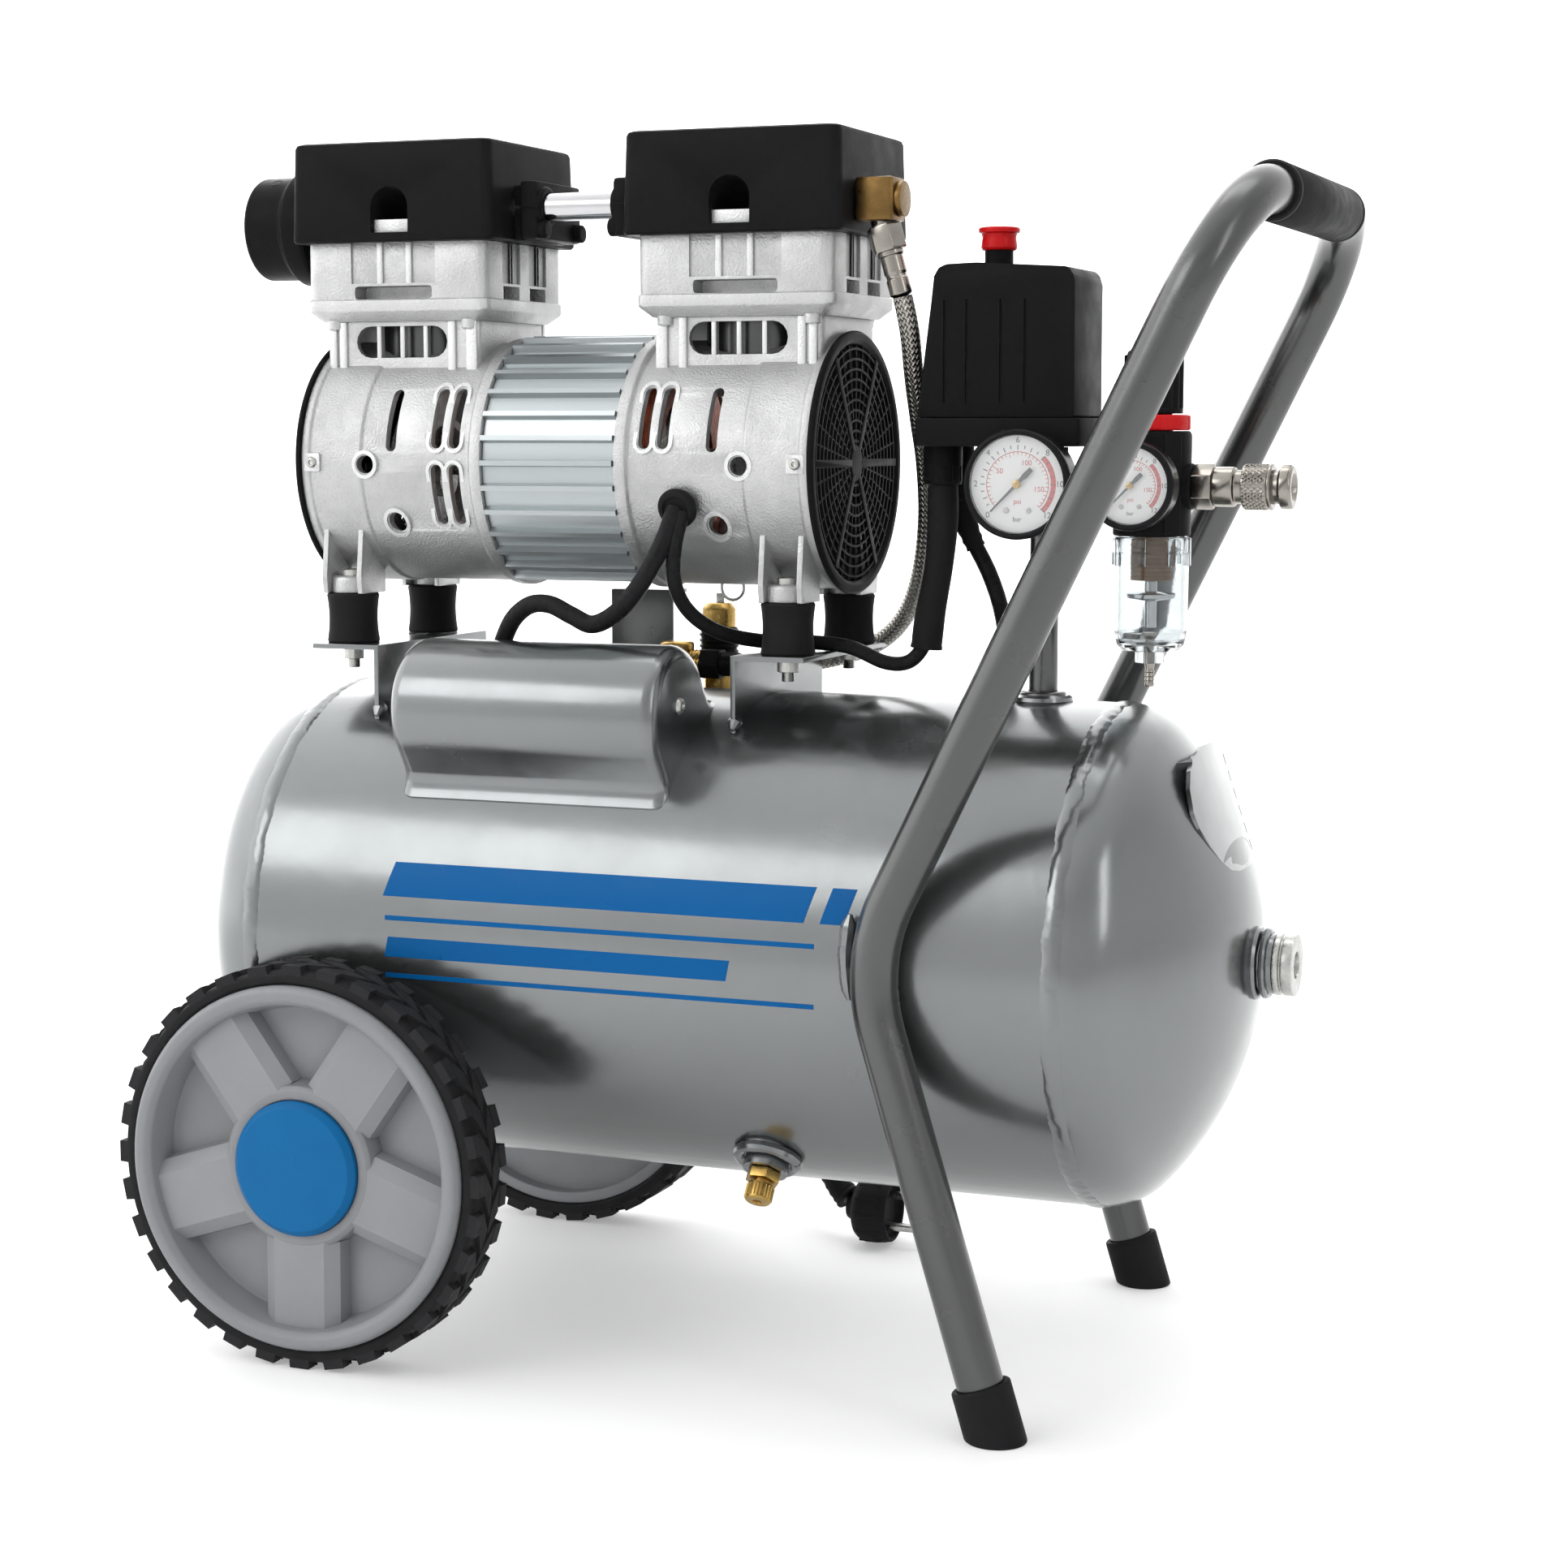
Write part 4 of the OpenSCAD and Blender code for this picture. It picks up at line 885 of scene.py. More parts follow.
# ---- frame ----
def tube_path():
    """Middle line of the one bent tube: foot, knee, upright, corner and bar, and back down the far side."""
    lean, splay = math.radians(26.1), math.radians(16.9)
    bar, foot_z = middle("handle_grip"), 8
    side = TANK_R + 11.2
    knee_r, corner_r = 85, 55
    cut = knee_r * math.tan((lean + splay) / 2)
    centre = KNEE + Vector((cut * math.sin(splay) + knee_r * math.cos(splay), 0,
                            knee_r * math.sin(splay) - cut * math.cos(splay)))
    half = [Vector((KNEE.x + (KNEE.z - foot_z) * math.tan(splay), -side, foot_z))]
    for k in range(25):
        a = math.pi + splay - (lean + splay) * k / 24
        half.append(Vector((centre.x + knee_r * math.cos(a), -side, centre.z + knee_r * math.sin(a))))
    for k in range(25):
        a = math.pi / 2 * k / 24
        down = corner_r * (1 - math.sin(a))
        half.append(Vector((bar.x - down * math.sin(lean), corner_r * (1 - math.cos(a)) - side,
                            bar.z - down * math.cos(lean))))
    return half + [Vector((p.x, -p.y, p.z)) for p in reversed(half)]


def frame_group():
    bm = bmesh.new()
    swept(bm, tube_path(), 11, 48)
    publish("bent_tube", bm, FRAME_PAINT, ("handle_frame",), smooth=50)
    bm = bmesh.new()
    low, high = span("handle_grip")
    place = axis_frame((middle("handle_grip").x, low.y, middle("handle_grip").z), Y)
    length = high.y - low.y
    r = (high.z - low.z) / 2
    outline = [(11.05, 0), (r - 0.9, 0), (r, 1.4), (r, 5), (r - 0.5, 5.6), (r - 0.5, 6.6), (r, 7.2)]
    turned(bm, outline + [(x, length - h) for x, h in reversed(outline)], place, 64, closed=True)
    publish("bar_grip", bm, RUBBER, ("handle_grip",), smooth=50)
    broken_edges("foot_caps", "feet", 1.6, RUBBER, steps=3)
    broken_edges("wheel_brackets", "axle_brackets", 0.6, FRAME_PAINT)
    bm = bmesh.new()
    for side in (-1, 1):
        y = side * (TANK_R + 1.2)
        for x in (-9.5, 9.0):
            bead = [KNEE + Vector((x + abs(t) / 9 - 2, y, t)) for t in (-20, -12, -4, 4, 12, 20)]
            weld(bm, bead, 7.5)
    publish("leg_welds", bm, TANK_PAINT)
    broken_edges("fasteners", "nuts_and_studs", 0.25, ZINC, steps=1)


# ---- motor ----
def end_frame(side):
    """Frame at the motor's middle whose local X runs outwards to one end, and local Z is up."""
    turn = Matrix.Diagonal((side, 1, 1, 1))
    return Matrix.Translation(MOTOR) @ turn


def skin(place, x, z, radius, lift=0.0, back=1):
    """Point on the housing's round skin, z above its axis; back is -1 for the far side."""
    y = -math.sqrt(max(0.0, radius ** 2 - z * z)) * back
    out = Vector((0, y, z)).normalized() * (radius + lift)
    return place @ Vector((x, out.y, out.z))


def skin_band(bm, place, outline, radius, width, height, back=1):
    """Raised flat lip that follows a closed outline of (x, z) points on the skin."""
    rows = []
    count = len(outline)
    for k, (x, z) in enumerate(outline):
        ahead, behind = Vector(outline[(k + 1) % count]), Vector(outline[k - 1])
        normal = (ahead - behind).normalized()
        normal = Vector((normal.y, -normal.x))
        spot = Vector((x, z))
        rows.append([bm.verts.new(skin(place, *(spot + normal * w), radius, lift, back)) for w, lift in
                     ((0, -1.2), (0.15 * width, height), (0.85 * width, height), (width, -1.2))])
    joined(bm, rows + rows[:1])


def slot_cutter(place, outline, y0, y1):
    """Cutter prism of an (x, z) outline that runs along Y."""
    cutter = bmesh.new()
    y0, y1 = sorted((y0, y1))
    turn = place @ spun(math.pi / 2, "X")
    extruded(cutter, outline, -y1, -y0, turn, 0)
    return cutter


def housing(side, label):
    """Cast end of the motor with its neck, vents, bosses and feet."""
    place = end_frame(side)
    along = place @ spun(math.pi / 2, "Y")
    end = MOTOR_END - 3.1
    bm = bmesh.new()
    shell = soft([(57, 36.4), (63, 36.4), (63, 42.2), (61.2, 43.4), (61, 45), (61, 103.6), (61.9, 104.6),
                  (62, 106), (62, end - 5), (63, end - 4), (63, end), (57.6, end), (57.6, end - 14),
                  (56.6, end - 15), (56.6, 46), (56.2, 45)], 0.7, steps=2)
    turned(bm, shell, along, 128, closed=True)
    neck_top = 512 - MOTOR.z
    neck = bmesh.new()
    base = place @ moved(CYL, 0, 0)
    outline = rectangle(-43.5, -38, 43.5, 38, 5)
    extruded(neck, outline, 34, neck_top, base, 0)
    hollow = bmesh.new()
    extruded(hollow, rectangle(-40, -34.5, 40, 34.5, 4), 20, neck_top + 2, base, 0)
    bore = bmesh.new()
    turned(bore, [(0, 0), (58, 0), (58, 96), (0, 96)], along @ moved(0, 0, 44), 96)
    window = slot_cutter(place, stadium_flat(CYL, 60.8, 52, 16), -70, 70)
    neck = carved(carved(neck, [hollow]), [window, bore])
    cutters = []
    for back in (1, -1):
        near, far = -80 * back, -30 * back
        rows = (-16, 22) if side < 0 or back < 0 else (22,)
        for z in rows:
            for x in (51.8, 61.8):
                cutters.append(slot_cutter(place, stadium(x, z, 6.0, 30), near, far))
        cutters.append(slot_cutter(place, stadium(87.5, 21, 5.8, 31), near, far))
        for x, z, r in ((102, -1, 4.6), (88, -30, 4.9)):
            cutters.append(slot_cutter(place, ring_points(x, z, r), near, far))
    opening = bmesh.new()
    turned(opening, [(0, 40), (SLEEVE_R, 40), (SLEEVE_R, 80), (0, 80)], base, 72)
    bm = carved(carved(bm, cutters), [opening])
    bm = merged(bm, neck)
    bevelled(bm, bm.faces, 0.6, 2, 40)
    for back in (1, -1):
        rows = (-16, 22) if side < 0 or back < 0 else (22,)
        for z in rows:
            for x in (51.8, 61.8):
                skin_band(bm, place, stadium(x, z, 6.4, 30.4), 61, 2.6, 0.9, back)
        for x, z, r in ((102, -1, 4.8), (88, -30, 5.1)):
            skin_band(bm, place, ring_points(x, z, r), 61.2, 2.7, 1.1, back)
        spot = place @ Vector((end - 6.2, -back * 61.9, 0))
        face = axis_frame(spot, Y * -back)
        extruded(bm, rectangle(-4.6, -4.6, 4.6, 4.6, 1), -1.5, 1.4, face, 0.4)
        # neck columns beside the window, and bars across it
        for x in (-43.3, -31.2, 31.2, 37.0):
            wide = 6.2 if abs(x) > 40 else 4.4
            block(bm, (x, -back * 36, 33.5), (x + wide, -back * 39.4, neck_top), 0.7, base)
        for x in (-14.5, -1.2, 12.2):
            block(bm, (x, -back * 33.5, 52), (x + 2.6, -back * 37.4, neck_top), 0.5, base)
    for y in (-MOUNT_Y, MOUNT_Y):
        foot = place @ moved(MOUNT, y, 0)
        ringed(bm, [(3.3, -67), (10.6, -67), (10.6, -59.6), (9.2, -58), (3.3, -58)], 0.8, foot, 36)
        out = -1 if y < 0 else 1
        for x in (-11.4, 8.6):
            wing = [(out * 10.4, -67), (out * 11.4, -59), (out * 8.6, -34), (-out * 14, -34),
                    (-out * 14, -67)]
            turn = foot @ spun(math.pi / 2) @ spun(math.pi / 2, "X")
            extruded(bm, soft(wing, 0.6), x, x + 2.8, turn, 0.5)
    publish(f"housing_{label}_casting", bm, CAST, (f"housing_{label}",), smooth=35)
    bm = bmesh.new()
    for back in (1, -1):
        screw(bm, axis_frame(place @ Vector((end - 6.2, -back * 63.3, 0)), Y * -back), 2.9)
    publish(f"housing_{label}_screws", bm, ZINC)


def stadium_flat(x, z, width, height):
    """Slot with round ends that lies flat."""
    return [(x + q - z, z + p - x) for p, q in stadium(x, z, height, width)]


def screw(bm, place, radius, height=1.6):
    """Pan-head screw with a cross recess."""
    lathed(bm, [(0, -1), (radius * 0.9, -1), (radius, 0.3), (radius * 0.75, height * 0.85),
                (radius * 0.42, height), (radius * 0.34, height * 0.45), (0, height * 0.35)], 0.25, place,
           28, fine=2)
    for spin in around(place, 4, math.pi / 4):
        block(bm, (radius * 0.36, -radius * 0.30, height * 0.3),
              (radius * 0.66, radius * 0.30, height * 0.96), 0.08, spin)


def stator_group():
    """Ribbed aluminium shell, with windings."""
    place = Matrix.Translation(MOTOR) @ spun(math.pi / 2, "Y")
    bm = bmesh.new()
    count = 32
    outline = []
    for k in range(count):
        a = math.tau * k / count
        root, tip = 60.3, 64.0
        steps = (-5.6, -1.9, -1.5, -1.2, 1.2, 1.5, 1.9)
        radii = (root, root, root + 1.2, tip, tip, root + 1.2, root)
        if math.cos(a) > 0.93:
            radii = (root,) * 7
        for turn, r in zip(steps, radii):
            b = a + turn / 61.0
            outline.append((r * math.cos(b), r * math.sin(b)))
    extruded(bm, outline, -36.0, 36.0, place, 0)
    core = bmesh.new()
    extruded(core, ring_points(0, 0, 57, 96), -50, 50, place, 0)
    bm = carved(bm, [core])
    publish("stator_ribs", bm, EXTRUDED, ("stator_shell",), smooth=24)
    bm = bmesh.new()
    for side in (-1, 1):
        for k in range(26):
            for layer in range(2):
                a = math.tau * (k + 0.5 * layer) / 26
                path = []
                for j in range(9):
                    t = j / 8
                    r = 40 + 10 * math.sin(math.pi * t) + layer * 2.0 + 0.8 * ripple(k, j)
                    x = side * (37 + 10.5 * math.sin(math.pi * t) + 0.8 * ripple(j, k))
                    b = a + 0.9 * (t - 0.5)
                    path.append(MOTOR + Vector((x, r * math.sin(b), r * math.cos(b))))
                swept(bm, path, 1.5, 7)
    publish("winding_heads", bm, COPPER)
    dress("stator", COPPER)


def fan(side):
    """Moulded cooling fan with nine broad pitched blades, a hub and a rim."""
    place = end_frame(side) @ spun(math.pi / 2, "Y")
    bm = bmesh.new()
    ringed(bm, [(7.1, 119.2), (13, 119.2), (13, 129), (12, 130), (7.1, 130)], 0.6, place, 40)
    ringed(bm, [(42.4, 119.2), (49.6, 119.2), (49.6, 120.8), (42.4, 120.8)], 0.4, place, 72)
    for blade in range(9):
        grid = [[], []]
        for t in (0, 0.25, 0.5, 0.75, 1):
            for r in (12.5, 30, 48.5):
                a = math.tau * (blade + 0.94 * t * (0.8 + 0.2 * r / 48.5)) / 9
                for skin_side, lift in zip(grid, (-0.6, 0.6)):
                    x = 120.6 + 7.6 * t + lift
                    skin_side.append(bm.verts.new(place @ Vector((r * math.cos(a), r * math.sin(a), x))))
        low, top = grid
        for j in range(4):
            for i in range(2):
                k = 3 * j + i
                bm.faces.new((low[k], low[k + 3], low[k + 4], low[k + 1]))
                bm.faces.new((top[k], top[k + 1], top[k + 4], top[k + 3]))
        rim = [0, 3, 6, 9, 12, 13, 14, 11, 8, 5, 2, 1]
        for m, n in zip(rim, rim[1:] + rim[:1]):
            bm.faces.new((low[m], low[n], top[n], top[m]))
    return bm


def guard(side):
    """Black polar grille in a plain rim."""
    place = end_frame(side) @ spun(math.pi / 2, "Y")
    face = MOTOR_END
    bm = bmesh.new()
    ringed(bm, [(57.6, face - 3), (64.6, face - 3), (64.9, face - 1.4), (63.6, face), (60.2, face),
                (58.6, face - 1.2), (57.4, face - 2.9)], 0.5, place, 112, fine=2)
    for r in range(11, 57, 5):
        low = face - 2.9
        turned(bm, [(r - 0.75, low), (r + 0.75, low), (r + 0.55, low + 1.9), (r - 0.55, low + 1.9)], place,
               80, closed=True)
    lathed(bm, [(0, face - 3), (9, face - 3), (9, face - 1.2), (7.6, face - 0.6), (0, face - 0.6)], 0.5,
           place, 40)
    for spin in around(place, 6, math.radians(30)):
        block(bm, (6, -1.9, face - 3), (58.2, 1.9, face - 0.6), 0.5, spin)
    for k, spin in enumerate(around(place, 36)):
        block(bm, (22 if k % 2 else 9, -0.5, face - 2.9), (58, 0.5, face - 1.2), 0.2, spin)
    return bm


# ---- heads and covers ----
def head(side):
    """Cast cylinder head: a chamfered lower plate, and a ribbed block with cooling slots."""
    base = end_frame(side) @ moved(CYL, 0, -MOTOR.z)
    bm = bmesh.new()
    low = span("cylinder_heads")[0].z
    rings = []
    for inset, z in ((5.5, low), (0.6, low + 4.6), (0, low + 5.6), (0, low + 10.4), (0.6, low + 11)):
        outline = rectangle(-52 + inset, -45.5 + inset, 52 - inset, 45.5 - inset, 7, 5)
        rings.append([bm.verts.new(base @ Vector((p[0], p[1], z))) for p in outline])
    bm.faces.new(rings[0])
    bm.faces.new(rings[-1])
    joined(bm, rings)
    block_low, block_high = low + 10.5, low + 39.3
    body = bmesh.new()
    extruded(body, rectangle(-51, -44.5, 51, 44.5, 6.5, 5), block_low, block_high, base, 0)
    cutters = []
    for back in (1, -1):
        recess = rectangle(-23, block_low + 8.5, 25, block_high + 3)
        cutters.append(slot_cutter(base, recess, -60 * back, -43.2 * back))
        slot = rectangle(-21, block_low + 0.6, 23, block_low + 7, 2.0)
        cutters.append(slot_cutter(base, slot, -58 * back, -33 * back))
    for end in (1, -1):
        for y in (-25, 5):
            cutters.append(box((60 * end, y, block_low + 8.5), (49.6 * end, y + 20, block_high + 3), base))
            cutters.append(box((58 * end, y + 1, block_low + 0.6), (38 * end, y + 19, block_low + 7), base))
    bore = bmesh.new()
    turned(bore, [(0, low - 5), (SLEEVE_R, low - 5), (SLEEVE_R, 532), (0, 532)], base, 72)
    body = carved(carved(body, cutters), [bore.copy()])
    bmesh.ops.triangulate(body, faces=[f for f in body.faces if len(f.verts) > 4])
    bevelled(body, body.faces, 0.6, 2, 40)
    bm = merged(carved(bm, [bore.copy()]), body)
    for back in (1, -1):
        for x in (-9.5, 7.0):
            block(bm, (x, -back * 42, block_low + 7), (x + 3.4, -back * 44.4, block_high), 0.6, base)
        for end in (1, -1):
            for y in (-15.5, 14.5):
                block(bm, (end * 48.5, y, block_low + 7), (end * 50.8, y + 2.6, block_high), 0.5, base)
    block(bm, (-38, -43, block_high - 1), (38, 43, block_high + 9.2), 1.0, base)
    for end in (1, -1):
        for y in (-37, 37):
            lathed(bm, [(0, low - 4), (4.2, low - 4), (4.6, low + 1), (0, low + 1)], 0.8,
                   base @ moved(end * 38.5, y, 0), 20)
    return bm


def cover(side):
    """Black moulded cover with an arched recess on its near and far sides."""
    base = end_frame(side) @ moved(CYL, 0, -MOTOR.z)
    low, high = span("top_covers")[0].z, span("top_covers")[1].z
    body = bmesh.new()
    rings = []
    for inset, z in ((0.9, low), (0, low + 1.2), (1.2, high - 2.6), (1.9, high - 0.8), (3.6, high)):
        outline = rectangle(-57 + inset, -50 + inset, 57 - inset, 50 - inset, 5.5, 6)
        rings.append([body.verts.new(base @ Vector((p[0], p[1], z))) for p in outline])
    body.faces.new(rings[0])
    body.faces.new(rings[-1])
    joined(body, rings)
    arch_z = low + 17
    arch = [(-10.6, low + 4.6), (10.6, low + 4.6)] + \
        [(10.6 * math.cos(math.pi * k / 14), arch_z + 10.6 * math.sin(math.pi * k / 14)) for k in range(15)]
    cutters = []
    for back in (1, -1):
        scoop = bmesh.new()
        rows = []
        for depth, shrink in ((-2, 1.0), (8, 0.96), (17, 0.86), (24, 0.62), (27, 0.25)):
            rows.append([scoop.verts.new(base @ Vector((x * shrink, -back * (50 - depth),
                         low + 4.6 + (z - low - 4.6) * shrink))) for x, z in arch])
        scoop.faces.new(rows[0])
        scoop.faces.new(rows[-1][::-1])
        joined(scoop, rows)
        cutters.append(scoop)
    body = carved(body, cutters)
    bevelled(body, body.faces, 0.5, 2, 50)
    return body


def ledges(side):
    """Cast ledge that shows at the foot of each arched recess."""
    base = end_frame(side) @ moved(CYL, 0, -MOTOR.z)
    low = span("top_covers")[0].z
    bm = bmesh.new()
    for back in (1, -1):
        block(bm, (-10.4, -back * 30, low + 4.2), (10.4, -back * 46.5, low + 11.2), 0.7, base)
    return bm


def top_group():
    publish("head_castings", merged(head(-1), head(1)), CAST, ("cylinder_heads",), smooth=35)
    publish("head_ledges", merged(ledges(-1), ledges(1)), CAST)
    publish("cover_shells", merged(cover(-1), cover(1)), COVER, ("top_covers",), smooth=35)
    low, high = span("crossover_pipe")
    centre = Vector((MOTOR.x, -17, 568.5))
    bm = bmesh.new()
    for side in (-1, 1):
        base = end_frame(side) @ moved(0, 0, -MOTOR.z)
        block(bm, (20.8, low.y, low.z + 0.4), (30.5, high.y, high.z), 3.2, base)
        block(bm, (29, low.y + 4, low.z), (35.6, high.y - 2, high.z - 2), 1.5, base)
        block(bm, (20.2, low.y - 0.6, centre.z - 0.5), (30, low.y + 2, centre.z + 0.4), 0.3, base)
        place = axis_frame(base @ Vector((24.5, centre.y, centre.z)), X * -side)
        ringed(bm, [(7.1, -4), (10.6, -4), (10.6, 4.2), (9.4, 5.6), (7.1, 5.6)], 0.8, place, 36)
        for y in (low.y + 6, high.y - 6):
            lathed(bm, [(0, 0), (4.6, 0), (4.6, 4.4), (3.8, 5), (0, 5)], 0.6,
                   axis_frame(base @ Vector((22, y, low.z + 5.5)), X * -side), 24)
    publish("crossover_blocks", bm, COVER)
    bm = bmesh.new()
    turned(bm, [(7.05, -36), (7.05, 36), (5.9, 36), (5.9, -36)], axis_frame(centre, X), 48, closed=True)
    publish("crossover_tube", bm, CHROME, ("crossover_pipe",))
    low, high = span("intake_filter")
    place = axis_frame((low.x, 0, middle("intake_filter").z), X)
    bm = bmesh.new()
    lathed(bm, [(0, 7), (20, 7), (22.5, 4.5), (22.8, 0.4), (25.4, 0), (26.7, 1.6), (26.7, 21), (28.6, 23.4),
                (29.9, 24.4), (29.9, 34.4), (28.8, 36), (21, 37), (20, 42), (11, 42.3),
                (11, high.x - low.x), (0, high.x - low.x)], 0.9, place, 72)
    for spin in around(place, 9):
        block(bm, (3, -1.3, 5), (23, 1.3, 8.4), 0.4, spin)
    lathed(bm, [(0, 4), (5.5, 4), (6, 8), (0, 8)], 0.6, place, 30)
    for k in range(4):
        a = math.tau * (k + 0.32) / 4
        spot = place @ Vector((26.2 * math.cos(a), 26.2 * math.sin(a), 13))
        out = place.to_3x3() @ Vector((math.cos(a), math.sin(a), 0))
        ringed(bm, [(2.2, -0.6), (3.4, -0.6), (3.3, 0.5), (2.4, 0.5), (2.0, -0.5)], 0.2,
               axis_frame(spot, out), 20)
    publish("intake_cap", bm, COVER, ("intake_filter",))


# ---- air lines ----
HOSE = [
    (101.4, -22, 521), (104, -19, 504), (103.4, -10, 482), (101.5, 4, 462), (100, 18, 440), (97, 30, 412),
    (88, 45, 382), (74, 59, 360), (55, 68, 346), (30, 69, 338), (8, 63, 335), (-6, 54, 335), (-13, 50, 335),
]


def air_lines():
    bm = bmesh.new()
    swept(bm, smooth_path(along_tank(HOSE), 8), 4.8, 28)
    publish("braided_hose", bm, STEEL_BRAID, ("discharge_hose",))
    bm = bmesh.new()
    elbow = Vector((MID + 79.6, -32, 556.5))
    block(bm, elbow, elbow + Vector((20, 20, 21)), 3.0)
    lathed(bm, [(0, -8), (6, -8), (6, 1), (0, 1)], 0.4, axis_frame((elbow.x, -22, 567), X), 30)
    lathed(bm, [(0, 0), (8.2, 0), (8.6, 1.4), (8.6, 3.6), (0, 3.6)], 0.5,
           axis_frame((elbow.x + 19.4, -22, 567), X), 40)
    publish("brass_elbow", bm, BRONZE, ("hose_fittings",))
    place = moved(MID + 91, -22, 556) @ spun(math.radians(-16), "Y")
    bm = bmesh.new()
    hexagon(bm, 15.5, -14.5, -1.5, place, 1.2)
    lathed(bm, [(0, -2), (5.6, -2), (5.6, 3), (0, 3)], 0.5, place, 30)
    lathed(bm, [(4.9, -36), (5.5, -35.4), (5.5, -28), (5.0, -27.4), (5.0, -26), (5.6, -25), (5.6, -17),
                (6.4, -16.4), (6.4, -14), (0, -14)], 0.4, place, 36)
    publish("hose_nut", bm, NICKEL)
    bm = bmesh.new()
    y = VALVE.y
    lathed(bm, [(5.2, -12), (6.1, -11.4), (6.1, -2), (5.4, 0.2), (5.4, 2)], 0.5,
           axis_frame((MID - 22, y, HOSE_Z), X), 32)
    far = axis_frame((MID - 34, y, HOSE_Z), X)
    hexagon(bm, 15, 0, 11, far, 1.0)
    lathed(bm, [(0, 10), (6.4, 10.4), (6.3, 21), (5.4, 22), (0, 22)], 0.6, far, 32)
    publish("lower_hose_nut", bm, COVER)
    bm = bmesh.new()
    base = moved(VALVE.x, y, 0)
    hexagon(bm, 20, 322.4, 330, base, 1.2)
    lathed(bm, [(0, 308), (8, 308), (8, 322.6), (0, 322.6)], 0.6, base, 36)
    lathed(bm, [(0, 329), (9, 329), (9, 338), (8.2, 339), (8.2, 341), (9, 342), (9, 345.4), (7.6, 346.5),
                (0, 346.5)], 0.5, base, 40)
    for k in range(6):
        turned(bm, [(6.6, 6 + 2 * k), (7.3, 6.6 + 2 * k), (7.3, 7.2 + 2 * k), (6.6, 7.8 + 2 * k)],
               axis_frame((VALVE.x, y, HOSE_Z), X), 30, closed=True)
    turned(bm, [(0, 4), (6.7, 4), (6.7, 18.2), (0, 18.2)], axis_frame((VALVE.x, y, HOSE_Z), X), 30)
    publish("one_way_valve", bm, BRASS, ("check_valve",))
    broken_edges("valve_bracket", "rear_bracket", 0.5, FRAME_PAINT)
    relief_valve()
    bm = bmesh.new()
    low, high = span("riser_pipe")
    base = moved(RISER_X, 0, 0)
    ringed(bm, [(7.05, low.z + 2), (7.05, high.z), (4.6, high.z), (4.6, low.z + 2)], 0.3, base, 48)
    ringed(bm, [(7, 323), (11.3, 325.6), (11.3, 330.4), (9.8, 331.3), (7, 331.3)], 0.7, base, 48)
    publish("riser", bm, FRAME_PAINT, ("riser_pipe",))
    broken_edges("manifold", "cross_fitting", 0.5, COVER, steps=1)


def relief_valve():
    base = moved(MID - 34, 72, 0)
    bm = bmesh.new()
    lathed(bm, [(0, 300), (8.8, 300), (8.8, 316.4), (0, 316.4)], 0.5, base, 36)
    hexagon(bm, 16, 316.2, 329.6, base, 1.0)
    lathed(bm, [(0, 352), (8.6, 352), (9, 355), (9, 363), (6.5, 366), (0, 366)], 0.8, base, 36)
    publish("relief_valve_body", bm, BRASS, ("safety_valve",))
    bm = bmesh.new()
    rings = [(0, 329), (9.6, 329), (10.5, 330.2)]
    for k in range(7):
        rings += [(10.5, 331.6 + 3 * k), (9.8, 332.2 + 3 * k), (9.8, 332.9 + 3 * k), (10.5, 333.5 + 3 * k)]
    turned(bm, rings + [(9.6, 353), (0, 353)], base, 40)
    publish("relief_valve_sleeve", bm, GLOSS_BLACK)
    bm = bmesh.new()
    ring = circle((MID - 26, 72, 374), Y, 6.4, 28)
    swept(bm, ring + ring[:2], 0.9, 8)
    block(bm, (MID - 35.4, 71.2, 364), (MID - 31, 72.8, 371), 0.5)
    publish("relief_valve_ring", bm, ZINC)


# ---- mounts and covers on the tank ----
def shroud(place):
    """Pressed trough with rounded ends and a flared foot, along local X with +Z away from the tank."""
    round_r, low, high = 7, -134, 9
    bm = bmesh.new()
    stations = [(round_r * (1 - math.sin(a)), round_r * (1 - math.cos(a)))
                for a in (math.pi / 2 * k / 6 for k in range(7))]
    rows = [(low + along, inset) for inset, along in stations] + \
        [(high - along, inset) for inset, along in reversed(stations)]
    rings = []
    for x, inset in rows:
        w = 34 - inset
        foot = [(w + 8, 112.5), (w + 7.6, 116.2), (w + 4.2, 118.2), (w + 1.2, 121.4), (w, 126)]
        arch = [(w * math.cos(math.pi * k / 28), 140 + w * math.sin(math.pi * k / 28)) for k in range(29)]
        outline = foot + arch + [(-y, z) for y, z in reversed(foot)]
        rings.append([bm.verts.new(place @ Vector((x, y, z))) for y, z in outline])
    joined(bm, rings)
    bm.faces.new(rings[0])
    bm.faces.new(rings[-1][::-1])
    return bm


def mount_group():
    low, high = span("rubber_mounts")
    bm = bmesh.new()
    for side in (-1, 1):
        for y in (-MOUNT_Y, MOUNT_Y):
            place = moved(MOTOR.x + side * MOUNT, y, low.z)
            tall = high.z - low.z
            waist = [(12.4 + abs(k / 5 - 1) ** 2, 1 + (tall - 2) * k / 10) for k in range(11)]
            turned(bm, [(3.05, 0), (12.9, 0), *waist, (12.9, tall), (3.05, tall)], place, 48, closed=True)
    publish("rubber_feet", bm, RUBBER, ("rubber_mounts",))
    broken_edges("mount_brackets", "motor_brackets", 1.1, TANK_PAINT, steps=3)
    tilted = Matrix.Translation(TANK) @ spun(math.radians(33.8), "X")
    publish("capacitor_shroud", shroud(tilted), TANK_PAINT, ("capacitor_cover",), smooth=40)
    bm = bmesh.new()
    screw(bm, axis_frame(tilted @ Vector((9, 0, 146)), X), 4.2, 2.4)
    publish("shroud_screw", bm, ZINC)


